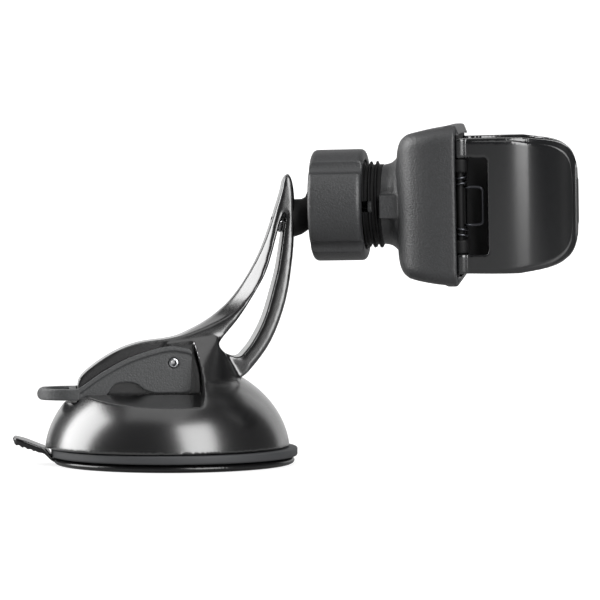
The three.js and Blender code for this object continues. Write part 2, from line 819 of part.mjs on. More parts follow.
piece(holder, 'ball_seat_rear', ballSeat(119, 93, SEAT_IN, SEAT_MIDDLE - 0.05), matteGrey());
piece(holder, 'ball_seat_front', ballSeat(87, 55, SEAT_MIDDLE + 0.05, SEAT_OUT), matteGrey());
piece(holder, 'rear_housing', rearHousing(), matteGrey());
piece(holder, 'pressure_ring', pressureRing(), satinBlack());
piece(holder, 'clamp_nut', clampNut(), matteGrey());
piece(holder, 'front_plate', frontPlate(), matteGrey());
piece(holder, 'phone_pad', phonePad(), rubber());
platePlaces().forEach(([y, z], i) => piece(holder, `plate_screw_${i + 1}`, plateScrew(y, z), steel()));
for (const [side, place] of [[-1, 'near'], [1, 'far']]) {
  piece(holder, `axle_${place}`, axle(side), steel());
  piece(holder, `jaw_spring_${place}`, jawSpring(side), steel());
  piece(holder, `jaw_${place}`, jaw(side), blueGrey());
  piece(holder, `grip_pad_${place}`, gripPad(side), rubber());
}

export default mount;
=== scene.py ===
"""Car phone mount: the surfaces and finishes of a suction base with a cam lever, a two-legged arm,
a ball joint with a clamp nut, and a holder whose two sprung jaws grip the phone.

Pieces are drawn in millimetres, +Z up, and brought to metres as they are finished. The holder's
pieces are drawn along the holder's own axis x, from the ball's centre, and are then turned into place.
"""

import math

import bmesh
import bpy
from mathutils import Euler, Matrix, Vector


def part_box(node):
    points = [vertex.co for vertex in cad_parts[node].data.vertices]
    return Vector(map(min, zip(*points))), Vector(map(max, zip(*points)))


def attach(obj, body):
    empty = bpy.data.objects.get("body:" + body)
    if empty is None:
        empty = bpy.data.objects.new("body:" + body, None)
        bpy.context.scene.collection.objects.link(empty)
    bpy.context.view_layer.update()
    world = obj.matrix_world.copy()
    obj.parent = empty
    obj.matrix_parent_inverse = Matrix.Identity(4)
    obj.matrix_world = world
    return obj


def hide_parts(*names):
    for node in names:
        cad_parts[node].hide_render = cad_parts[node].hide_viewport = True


bl_info = {
    "name": "Car Phone Mount",
    "version": (1, 0, 0),
    "blender": (4, 5, 0),
    "location": "View3D > Sidebar > Phone Mount",
    "description": "Models a car phone mount with a suction base and two sprung jaws",
    "category": "Add Mesh",
}

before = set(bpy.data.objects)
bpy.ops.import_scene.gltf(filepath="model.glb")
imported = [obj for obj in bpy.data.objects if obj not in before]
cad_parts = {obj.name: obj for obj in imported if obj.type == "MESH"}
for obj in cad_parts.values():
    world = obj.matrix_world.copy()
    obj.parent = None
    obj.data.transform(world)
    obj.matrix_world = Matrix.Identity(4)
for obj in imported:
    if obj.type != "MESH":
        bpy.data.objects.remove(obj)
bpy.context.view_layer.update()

MM = 0.001
FULL_TURN = 2 * math.pi


def box_mm(node):
    """The lowest and highest corners of a part of the frame, in millimetres."""
    return [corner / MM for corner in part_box(node)]


# ---- where things are, from the frame ----
CUP_LOW, CUP_HIGH = box_mm("suction_cup")
PLATE_LOW, PLATE_HIGH = box_mm("base_plate")
PIN_LOW, PIN_HIGH = box_mm("lever_pin")
PIN_X = (PIN_LOW.x + PIN_HIGH.x) / 2
PIN_Z = (PIN_LOW.z + PIN_HIGH.z) / 2
CUP_RADIUS = CUP_HIGH.x
PLATE_RADIUS = PLATE_HIGH.x
LEVER_END = box_mm("cam_lever")[0].x
ARM_TOP = box_mm("dome_arm")[1].z

BALL = Vector((47.58, 0, 77.75))
BALL_RADIUS = 8.5
STUD_SLOPE = math.radians(18)
HEAD_TURN = Euler((math.radians(5.5), math.radians(-0.7), math.radians(-14.36)), "XYZ")

TO_METRES = Matrix.Scale(MM, 4)
IN_BASE = TO_METRES
IN_HOLDER = TO_METRES @ Matrix.Translation(BALL) @ HEAD_TURN.to_matrix().to_4x4()
ON_STUD = TO_METRES @ Matrix.Translation(BALL) @ Matrix.Rotation(-STUD_SLOPE, 4, "Y")

DOME_X = -2.1  # the dome's axis lies a little behind the cup's
DOME_WAIST = 3.0  # height of its widest section
CHEEK_OUT = 13.0  # half the width over the lever's cheeks
CHEEK_IN = 10.0

SHELL_BACK = 20.6
SHELL_FRONT = 39.0
SHELL_HALF = 23.5  # half the width and height of the holder's front
PLATEAU = 41.4  # front of the plate's raised middle
PAD_FRONT = 48.2
PIVOT = 40.0  # jaw axles: distance in front of the ball
PIVOT_Y = 18.3  # and to each side
JAW_HALF = 19.7  # half the height of a jaw
JAW_TIP = 74.2
COLLET_START = -3.6
NUT_START = -5.4
NUT_END = 10.6


# ---- colours ----
def linear(colour):
    """An sRGB colour written as "#rrggbb", in linear light."""
    values = [int(colour[i : i + 2], 16) / 255 for i in (1, 3, 5)]
    return [v / 12.92 if v <= 0.04045 else ((v + 0.055) / 1.055) ** 2.4 for v in values]


def colour_setting(name, description, colour):
    """A colour in the sidebar, with its default written as "#rrggbb"."""
    return bpy.props.FloatVectorProperty(
        name=name,
        description=description,
        subtype="COLOR",
        min=0,
        max=1,
        default=linear(colour),
    )


def length_setting(name, description, millimetres):
    """A length in the sidebar, with its default in millimetres."""
    return bpy.props.FloatProperty(
        name=name,
        description=description,
        unit="LENGTH",
        subtype="DISTANCE",
        min=0,
        precision=5,
        default=millimetres * MM,
    )


class MountSizes(bpy.types.PropertyGroup):
    """Sizes of the phone mount that change its look without changing how it works."""

    dome_radius: length_setting("Dome radius", "Radius of the base's dome at its widest", 36.7)
    dome_height: length_setting("Dome height", "Height of the dome above its widest section", 28.8)
    dome_wall: length_setting("Dome wall", "Thickness of the dome's moulded wall", 2.6)
    spine_half: length_setting("Ridge half width", "Half the width of the ridge at its foot", 9.4)
    tip_half: length_setting("Tip half width", "Half the width of the arm at its tip", 5.0)
    cup_edge: length_setting("Cup edge", "Height of the suction cup's rim", 2.2)
    tab_width: length_setting("Tab width", "Width of the cup's pull tab", 12.0)
    lever_rim: length_setting("Lever rim", "Width of the raised rim along the lever", 1.3)
    nut_radius: length_setting("Nut radius", "Radius of the clamp nut over its lobes", 16.8)
    nut_flute: length_setting("Flute depth", "Depth of the nut's four finger flutes", 1.5)
    thread_pitch: length_setting("Thread pitch", "Distance between two turns of the thread", 1.9)
    shell_wall: length_setting("Housing wall", "Thickness of the housing's moulded wall", 2.3)
    rib_spacing: length_setting("Rib spacing", "Distance between two ribs of a rubber pad", 2.4)
    spring_wire: length_setting("Spring wire", "Radius of the jaw springs' wire", 0.38)


class MountFinishes(bpy.types.PropertyGroup):
    """Colours of the phone mount's finishes."""

    arm_black: colour_setting("Arm black", "Polished black plastic of the dome and arm", "#0f0f10")
    body_grey: colour_setting("Body grey", "Spark-textured plastic of the housing and nut", "#1f2022")
    lever_grey: colour_setting("Lever grey", "Spark-textured plastic of the lever", "#3d3e3f")
    ring_grey: colour_setting("Ring grey", "Matte plastic of the base ring", "#3b3c3e")
    # Near black that paints the shade deep in the mount: on the stud's neck, the jaws' carrier and axles,
    # and the thread.
    painted_shade_black: colour_setting("Dull black", "Near black of the stud, carrier and thread, as painted shade", "#070708")
    jaw_grey: colour_setting("Jaw grey", "Smooth blue-grey plastic of the jaws", "#0c0d0f")
    cup_black: colour_setting("Cup black", "Soft vinyl of the suction cup", "#131314")
    pad_black: colour_setting("Pad black", "Silicone rubber of the pads", "#1b1b1c")
    steel: colour_setting("Steel", "Nickel-plated steel of the pin, nut and screws", "#c4c5c8")
    # Steel darkened to paint the shade inside the jaws' windows; the bright line along each wire is the
    # steel's own reflection.
    wire: colour_setting("Spring wire", "Steel of the jaws' springs, darkened as painted shade", "#505155")
    floor_grey: colour_setting("Floor", "The floor as the object's underside sees it", "#9a9a9a")


# ---- outlines ----
def arc(centre, radius, start, end, steps):
    """Points on a round stretch, between two angles in degrees."""
    angles = [math.radians(start + (end - start) * i / steps) for i in range(steps + 1)]
    return [(centre[0] + radius * math.cos(a), centre[1] + radius * math.sin(a)) for a in angles]


def flowing(points, steps=6):
    """A smooth curve through the points, with that many steps between two of them."""
    ends = [2 * Vector(points[0]) - Vector(points[1]), 2 * Vector(points[-1]) - Vector(points[-2])]
    knots = [ends[0], *map(Vector, points), ends[1]]
    curve = []
    for a, b, c, d in zip(knots, knots[1:], knots[2:], knots[3:]):
        for i in range(steps):
            t = i / steps
            curve.append(
                (b * 2 + (c - a) * t + (a * 2 - b * 5 + c * 4 - d) * t**2 + (b * 3 - a - c * 3 + d) * t**3)
                / 2
            )
    return [tuple(p) for p in curve] + [tuple(points[-1])]


def rounded_rectangle(half_width, half_height, radius, steps=6, centre=(0, 0)):
    """A rectangle with round corners, about a centre."""
    outline = []
    for corner, (x, y) in enumerate([(1, 1), (-1, 1), (-1, -1), (1, -1)]):
        middle = (centre[0] + x * (half_width - radius), centre[1] + y * (half_height - radius))
        outline += arc(middle, radius, 90 * corner, 90 * corner + 90, steps)
    return outline


def mirrored(outline):
    """The outline with its second coordinate turned over."""
    return [(u, -v) for u, v in outline]


# ---- modelling ----
def begin():
    """Leaves edit mode and deselects everything, so that what comes next acts on a new mesh alone."""
    if bpy.context.object and bpy.context.object.mode != "OBJECT":
        bpy.ops.object.mode_set(mode="OBJECT")
    bpy.ops.object.select_all(action="DESELECT")


def activate(piece):
    """Makes the piece the only selected object."""
    begin()
    bpy.context.view_layer.objects.active = piece
    piece.select_set(True)


def draw_line(points):
    """Draws a line by extruding one vertex to the next, and stays in edit mode with all of it selected."""
    begin()
    bpy.ops.mesh.primitive_plane_add(size=1, location=(0, 0, 0))
    bpy.ops.object.mode_set(mode="EDIT")
    bpy.ops.mesh.select_mode(type="VERT")
    bpy.ops.mesh.select_all(action="SELECT")
    bpy.ops.mesh.merge(type="CENTER")
    bpy.ops.transform.translate(value=points[0])
    for here, there in zip(points, points[1:]):
        step = Vector(there) - Vector(here)
        bpy.ops.mesh.extrude_vertices_move(TRANSFORM_OT_translate={"value": step})
    bpy.ops.mesh.select_all(action="SELECT")
    return bpy.context.object


def close_mesh():
    """Merges doubles, turns the faces outwards and leaves edit mode."""
    bpy.ops.mesh.select_all(action="SELECT")
    bpy.ops.mesh.remove_doubles(threshold=0.001)
    bpy.ops.mesh.normals_make_consistent(inside=False)
    bpy.ops.object.mode_set(mode="OBJECT")


LIFT = {
    "XZ": lambda u, v, w: (u, w, v),
    "XY": lambda u, v, w: (u, v, w),
    "YZ": lambda u, v, w: (w, u, v),
}


def slab(outline, plane, low, high, lean=0):
    """A plate with that outline, extruded from low to high while moving sideways by the lean."""
    lift = LIFT[plane]
    piece = draw_line([lift(u, v, low) for u, v in outline])
    bpy.ops.mesh.edge_face_add()
    bpy.ops.mesh.extrude_region_move(TRANSFORM_OT_translate={"value": lift(lean, 0, high - low)})
    close_mesh()
    return piece


def turned(profile, axis="Z", centre=(0, 0), steps=128):
    """A turned piece. The profile lists radius and height along the axis, which is Z, X or Y."""
    u, v = centre
    if axis == "Z":
        points, middle, line = [(u + r, v, h) for r, h in profile], (u, v, 0), (0, 0, 1)
    elif axis == "X":
        points, middle, line = [(h, u, v + r) for r, h in profile], (0, u, v), (1, 0, 0)
    else:
        points, middle, line = [(u + r, h, v) for r, h in profile], (u, 0, v), (0, 1, 0)
    piece = draw_line(points)
    bpy.ops.mesh.spin(steps=steps, angle=FULL_TURN, center=middle, axis=line)
    close_mesh()
    return piece


def block(x, y, z):
    """A box between two values of each coordinate."""
    begin()
    middle = [(low + high) / 2 for low, high in (x, y, z)]
    bpy.ops.mesh.primitive_cube_add(size=1, location=middle)
    piece = bpy.context.object
    piece.scale = [high - low for low, high in (x, y, z)]
    bpy.ops.object.transform_apply()
    return piece


def rod(radius, low, high, axis="Z", centre=(0, 0), steps=48):
    """A straight round rod."""
    return turned([(0, low), (radius, low), (radius, high), (0, high)], axis, centre, steps)


def apply_modifier(piece, kind, **settings):
    """Adds a modifier with these settings and applies it."""
    activate(piece)
    bpy.ops.object.modifier_add(type=kind)
    modifier = piece.modifiers[-1]
    for key, value in settings.items():
        setattr(modifier, key, value)
    bpy.ops.object.modifier_apply(modifier=modifier.name)


def combine(piece, tools, operation):
    """Applies a Boolean with each tool in turn and takes the tools away."""
    for tool in tools:
        apply_modifier(piece, "BOOLEAN", object=tool, operation=operation, solver="EXACT")
        bpy.data.objects.remove(tool)
    return piece


def join(piece, *tools):
    return combine(piece, tools, "UNION")


def cut(piece, *tools):
    return combine(piece, tools, "DIFFERENCE")


def keep_inside(piece, tool):
    return combine(piece, [tool], "INTERSECT")


def mould(piece, grain, passes):
    """Gives the piece one even skin with small rounded edges, as a moulding has."""
    apply_modifier(piece, "REMESH", mode="VOXEL", voxel_size=grain, adaptivity=0)
    apply_modifier(piece, "SMOOTH", factor=0.5, iterations=passes)
    return piece


def soften(piece, weight, passes):
    """Smooths the piece where weight, a function of a point's place, is above 0."""
    group = piece.vertex_groups.new(name="Soft flow")
    for vertex in piece.data.vertices:
        amount = weight(vertex.co)
        if amount > 0:
            group.add([vertex.index], min(amount, 1), "REPLACE")
    apply_modifier(piece, "SMOOTH", factor=0.5, iterations=passes, vertex_group=group.name)
    piece.vertex_groups.clear()
    return piece


def round_edges(piece, width, segments=3, angle=35):
    """Bevels the edges that are sharper than the angle, in degrees."""
    apply_modifier(
        piece,
        "BEVEL",
        width=width,
        segments=segments,
        limit_method="ANGLE",
        angle_limit=math.radians(angle),
        use_clamp_overlap=True,
    )
    return piece


def bevel_where(piece, test, width, segments):
    """Bevels the sharp edges whose middle passes the test."""
    activate(piece)
    bpy.ops.object.mode_set(mode="EDIT")
    bpy.ops.mesh.select_mode(type="EDGE")
    bpy.ops.mesh.select_all(action="DESELECT")
    mesh = bmesh.from_edit_mesh(piece.data)
    for edge in mesh.edges:
        middle = (edge.verts[0].co + edge.verts[1].co) / 2
        edge.select = edge.calc_face_angle(0) > math.radians(50) and test(middle)
    bmesh.update_edit_mesh(piece.data)
    bpy.ops.mesh.bevel(offset=width, segments=segments, affect="EDGES", clamp_overlap=False)
    bpy.ops.object.mode_set(mode="OBJECT")
    return piece


def wire(points, radius):
    """A round wire along the points, with closed ends."""
    piece = draw_line(points)
    bpy.ops.object.mode_set(mode="OBJECT")
    bpy.ops.object.convert(target="CURVE")
    line = bpy.context.object.data
    line.bevel_depth = radius
    line.bevel_resolution = 3
    line.use_fill_caps = True
    bpy.ops.object.convert(target="MESH")
    piece = bpy.context.object
    bpy.ops.object.mode_set(mode="EDIT")
    close_mesh()
    return piece


def copy_across(piece):
    """A copy of the piece on the other side of the plane y = 0, with its own mesh."""
    activate(piece)
    bpy.ops.object.duplicate(linked=False)
    twin = bpy.context.object
    twin.scale = (1, -1, 1)
    bpy.ops.object.transform_apply()
    bpy.ops.object.mode_set(mode="EDIT")
    bpy.ops.mesh.select_all(action="SELECT")
    bpy.ops.mesh.normals_make_consistent(inside=False)
    bpy.ops.object.mode_set(mode="OBJECT")
    return twin


def finish_piece(piece, name, place, material, body, replaced=(), sharp=40):
    """Brings the piece to its place in metres, names it, gives it its finish and puts it on its body."""
    activate(piece)
    piece.matrix_world = place @ piece.matrix_world
    bpy.ops.object.transform_apply()
    bpy.ops.object.shade_smooth_by_angle(angle=math.radians(sharp))
    piece.name = name
    piece.data.name = name
    piece.data.materials.clear()
    piece.data.materials.append(material)
    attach(piece, body)
    if replaced:
        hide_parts(*replaced)
    return piece


# ---- materials ----
def add_node(tree, kind, links=None, **settings):
    """Adds a node, sets its properties and sockets, and links outputs to its inputs."""
    node = tree.nodes.new(kind)
    for key, value in settings.items():
        if hasattr(node, key):
            setattr(node, key, value)
        else:
            node.inputs[key.replace("_", " ")].default_value = value
    for socket, output in (links or {}).items():
        tree.links.new(output, node.inputs[socket])
    return node


def new_material(name):
    """A material with an empty Principled shader, its tree, and the object's own coordinates."""
    material = bpy.data.materials.new(name)
    material.use_nodes = True
    tree = material.node_tree
    tree.nodes.clear()
    coordinates = add_node(tree, "ShaderNodeTexCoord").outputs["Object"]
    shader = add_node(tree, "ShaderNodeBsdfPrincipled")
    output = add_node(tree, "ShaderNodeOutputMaterial", {"Surface": shader.outputs["BSDF"]})
    output.location = (400, 0)
    return material, tree, coordinates, shader


def per_metre(millimetres):
    """The scale of a pattern whose features are that far apart."""
    return 1 / (millimetres * MM)


SWIRL_WIDTH = 6
SWIRL_DEPTH = 0.2


def plastic(name, colour, rough, grain, grain_depth, mottle=0.06, ior=1.5, swirl=0.0, coat=0.0):
    """A moulded plastic, whose grain's pits are darker and glossier than its peaks.

    The real grain is about 0.1 mm, too fine to show, so it is drawn about 0.5 mm apart.
    The swirl is the broad, very shallow waviness of a glossy moulding.
    """
    material, tree, coordinates, shader = new_material(name)
    pits = add_node(
        tree,
        "ShaderNodeTexNoise",
        {"Vector": coordinates},
        Scale=per_metre(grain),
        Detail=2.0,
        Roughness=0.6,
    )
    shade = add_node(
        tree,
        "ShaderNodeMix",
        {"Factor": pits.outputs["Fac"]},
        data_type="RGBA",
    )
    shade.inputs["A"].default_value = (*[c * (1 - mottle) for c in colour], 1)
    shade.inputs["B"].default_value = (*[c * (1 + mottle) for c in colour], 1)
    tree.links.new(shade.outputs["Result"], shader.inputs["Base Color"])
    gloss = add_node(tree, "ShaderNodeMapRange", {"Value": pits.outputs["Fac"]})
    gloss.inputs["To Min"].default_value = max(rough - 0.05, 0.02)
    gloss.inputs["To Max"].default_value = rough + 0.05
    tree.links.new(gloss.outputs["Result"], shader.inputs["Roughness"])
    wave = add_node(
        tree,
        "ShaderNodeTexNoise",
        {"Vector": coordinates},
        Scale=per_metre(SWIRL_WIDTH),
        Detail=1.0,
    )
    broad = add_node(
        tree,
        "ShaderNodeBump",
        {"Height": wave.outputs["Fac"]},
        Strength=swirl,
        Distance=SWIRL_DEPTH * MM,
    )
    bump = add_node(
        tree,
        "ShaderNodeBump",
        {"Height": pits.outputs["Fac"], "Normal": broad.outputs["Normal"]},
        Strength=1.0,
        Distance=grain_depth * MM,
    )
    tree.links.new(bump.outputs["Normal"], shader.inputs["Normal"])
    shader.inputs["IOR"].default_value = ior
    shader.inputs["Coat Weight"].default_value = coat
    shader.inputs["Coat IOR"].default_value = 1.6
    shader.inputs["Coat Roughness"].default_value = rough
    return material


def satin_black():
    """ABS from a polished mould: black, with soft bright reflections of the lamps."""
    colour = bpy.context.scene.mount_finishes.arm_black
    return plastic("Polished black ABS", colour, 0.24, 0.5, 0.006, ior=1.6, swirl=0.04, coat=1.0)


def textured_grey():
    """Glass-filled nylon from a spark-eroded mould: an even charcoal with a fine dry grain."""
    colour = bpy.context.scene.mount_finishes.body_grey
    return plastic("Spark-textured nylon", colour, 0.5, 0.55, 0.12, mottle=0.9, ior=1.8)


def painted_shade_black():
    """Unfilled nylon with a dull skin, near black as painted shade: what lies deep in the mount stays
    black and doesn't shine.
    """
    colour = bpy.context.scene.mount_finishes.painted_shade_black
    return plastic("Dull nylon darkened as painted shade", colour, 0.62, 0.5, 0.01, ior=1.38)


def lever_grey():
    """The same nylon in a paler charcoal: the lever stands out from the black dome behind it."""
    colour = bpy.context.scene.mount_finishes.lever_grey
    return plastic("Spark-textured lever nylon", colour, 0.5, 0.55, 0.1, mottle=0.6, ior=1.6)


def ring_grey():
    """Matte ABS: the pale dull band between the dome and the cup."""
    colour = bpy.context.scene.mount_finishes.ring_grey
    return plastic("Matte grey ABS", colour, 0.6, 0.6, 0.01)


def jaw_grey():
    """Polycarbonate blend with a fine satin skin: dark blue-grey with clear soft highlights."""
    colour = bpy.context.scene.mount_finishes.jaw_grey
    return plastic("Satin polycarbonate", colour, 0.22, 0.5, 0.006, ior=1.6, swirl=0.05, coat=0.6)


def cup_vinyl():
    """Soft polished vinyl: black, with a wet-looking line of light along the rim."""
    colour = bpy.context.scene.mount_finishes.cup_black
    return plastic("Polished vinyl", colour, 0.2, 1.2, 0.004, ior=1.52, swirl=0.2)


def pad_rubber():
    """Silicone rubber: deep dull black that shows only broad, weak light."""
    colour = bpy.context.scene.mount_finishes.pad_black
    return plastic("Silicone rubber", colour, 0.7, 0.5, 0.01, ior=1.41)


def drawn_metal(name, colour, low, high):
    """A drawn or turned metal: faint lines along z, 0.4 mm apart to show, that spread its highlights."""
    material, tree, coordinates, shader = new_material(name)
    stretched = add_node(tree, "ShaderNodeMapping", {"Vector": coordinates}, Scale=(1, 1, 0.15))
    lines = add_node(
        tree,
        "ShaderNodeTexNoise",
        {"Vector": stretched.outputs["Vector"]},
        Scale=per_metre(0.4),
        Detail=3.0,
    )
    gloss = add_node(tree, "ShaderNodeMapRange", {"Value": lines.outputs["Fac"]})
    gloss.inputs["To Min"].default_value = low
    gloss.inputs["To Max"].default_value = high
    tree.links.new(gloss.outputs["Result"], shader.inputs["Roughness"])
    bump = add_node(
        tree,
        "ShaderNodeBump",
        {"Height": lines.outputs["Fac"]},
        Strength=1.0,
        Distance=0.003 * MM,
    )
    tree.links.new(bump.outputs["Normal"], shader.inputs["Normal"])
    shader.inputs["Base Color"].default_value = (*colour, 1)
    shader.inputs["Metallic"].default_value = 1.0
    return material


def bright_steel():
    """Nickel-plated steel: bright and slightly warm, for the pin and the screws."""
    return drawn_metal("Nickel-plated steel", bpy.context.scene.mount_finishes.steel, 0.18, 0.34)


def shade_darkened_spring_steel():
    """Spring wire darkened as painted shade in the jaws' windows, with a thin bright line of light along
    each wire.
    """
    return drawn_metal("Spring wire darkened as painted shade", bpy.context.scene.mount_finishes.wire, 0.22, 0.4)


MATERIALS = {}


def material_for(make):
    """The material made by that function, made only once."""
    if make.__name__ not in MATERIALS:
        MATERIALS[make.__name__] = make()
    return MATERIALS[make.__name__]


def in_mm(value):
    return value / MM


# ---- base: cup, ring ----
class MOUNT_OT_suction_cup(bpy.types.Operator):
    """Suction cup: a vinyl disc with a rolled rim, a boss for the stem's foot and a ribbed pull tab"""

    bl_idname = "mount.suction_cup"
    bl_label = "Suction cup"

    def execute(self, context):
        sizes = context.scene.mount_sizes
        edge = in_mm(sizes.cup_edge)
        boss = 11.5
        rim = [
            (0, 0),
            (CUP_RADIUS - 2.4, 0),
            (CUP_RADIUS - 0.9, 0.12),
            (CUP_RADIUS - 0.25, 0.45),
            (CUP_RADIUS, 0.95),
            (CUP_RADIUS, 1.35),
            (CUP_RADIUS - 0.25, 1.8),
            (CUP_RADIUS - 0.8, 2.1),
            (CUP_RADIUS - 1.6, edge),
        ]
        top = [(boss + 1, edge), (boss + 0.3, edge + 0.3), (boss, edge + 1), (boss, 8.6), (0, 8.6)]
        disc = turned(rim + top, steps=160)
        cut(disc, rod(9.1, 1.9, 10, centre=(PIN_X, 0), steps=64))
        bottom = flowing([(-33.5, 0.5), (-36.5, 1.4), (-38.9, 3.6), (-40.8, 4.0)], 3)
        ribs = []
        for x, z in [(-41.4, 4.6), (-43.1, 5.15), (-44.8, 5.7), (-46.5, 6.3)]:
            ribs += [(x, z), (x - 0.35, z - 0.3), (x - 0.85, z - 0.12), (x - 1.2, z + 0.35)]
        end = arc((-47.75, 8.0), 0.48, 250, 70, 5)
        upper = flowing([(-44.4, 7.5), (-40.4, 5.9), (-38.2, 4.9), (-36.2, 2.1), (-33.5, 2.1)], 4)
        width = in_mm(sizes.tab_width)
        tab = slab(bottom + ribs + end + upper, "XZ", -width / 2, width / 2)
        corner = rounded_rectangle(24, width / 2, 3.2, centre=(CUP_LOW.x + 24, 0))
        keep_inside(tab, slab(corner, "XY", -5, 15))
        cup = mould(join(disc, tab), 0.34, 2)
        vinyl = material_for(cup_vinyl)
        finish_piece(cup, "cup_and_tab", IN_BASE, vinyl, "base", ["suction_cup"])
        return {"FINISHED"}


class MOUNT_OT_base_ring(bpy.types.Operator):
    """Base ring: the pale band under the dome, with screw holes and a locating rim inside"""

    bl_idname = "mount.base_ring"
    bl_label = "Base ring"

    def execute(self, context):
        low, top = PLATE_LOW.z, 5.0
        hole = 13.2
        rim = in_mm(context.scene.mount_sizes.dome_radius) - 6
        outside = [(hole, low), (PLATE_RADIUS - 0.9, low)]
        outside += arc((PLATE_RADIUS - 0.55, low + 0.55), 0.55, -80, 0, 4)
        outside += arc((PLATE_RADIUS - 0.45, top - 0.45), 0.45, 0, 90, 4)
        inside = [(rim, top), (rim, top + 3), (rim - 1.6, top + 3), (rim - 1.6, top), (hole, top)]
        ring = turned([*outside, *inside, (hole, low)], steps=160)
        for x, y in screw_places():
            cut(ring, rod(1.8, 0, 20, centre=(x, y), steps=24), rod(3.1, 0, 3.9, centre=(x, y)))
        grey = material_for(ring_grey)
        finish_piece(ring, "base_ring", IN_BASE, grey, "base", ["base_plate"])
        return {"FINISHED"}


def screw_places(circle=27, count=3):
    """Where the base's screws stand."""
    angles = [math.pi / 3 + FULL_TURN * i / count for i in range(count)]
    return [(circle * math.cos(a), circle * math.sin(a)) for a in angles]


# ---- dome and arm ----
def dome_profile(radius, height, bottom, top, steps):
    """Half of the dome's section, from the axis round to the axis."""
    low = math.asin((bottom - DOME_WAIST) / height)
    high = math.asin(min((top - DOME_WAIST) / height, 1))
    angles = [low + (high - low) * i / steps for i in range(steps + 1)]
    skin = [(radius * math.cos(a), DOME_WAIST + height * math.sin(a)) for a in angles]
    if skin[-1][0] > 0.01:
        skin.append((0, top))
    return [(0, bottom), *skin[:-1], (0, skin[-1][1])]


ARM_REAR = [
    (-28.9, 20.5),
    (-28.8, 25.2),
    (-24.7, 29.5),
    (-17.6, 34.0),
    (-10.4, 36.6),
    (-1.4, 37.9),
    (4.0, 40.0),
    (11.2, 44.4),
    (18.4, 51.5),
    (25.7, 64.0),
    (31.2, 80.0),
    (32.5, 85.2),
]
ARM_FRONT = [
    (35.2, 84.6),
    (35.7, 80.5),
    (35.7, 73.2),
    (35.1, 62.3),
    (32.9, 49.0),
    (28.4, 37.0),
    (22.2, 28.5),
    (18.0, 25.2),
]
OPENING_REAR = [
    (32.5, 75.4),
    (31.0, 71.0),
    (27.9, 59.9),
    (25.2, 53.9),
    (19.1, 44.2),
    (13.2, 37.0),
    (13.1, 35.0),
    (14.7, 33.4),
    (17.6, 32.2),
]
OPENING_FRONT = [
    (19.4, 32.4),
    (23.0, 37.0),
    (26.6, 44.2),
    (29.4, 53.9),
    (30.8, 59.9),
    (32.4, 71.0),
    (33.0, 75.4),
]


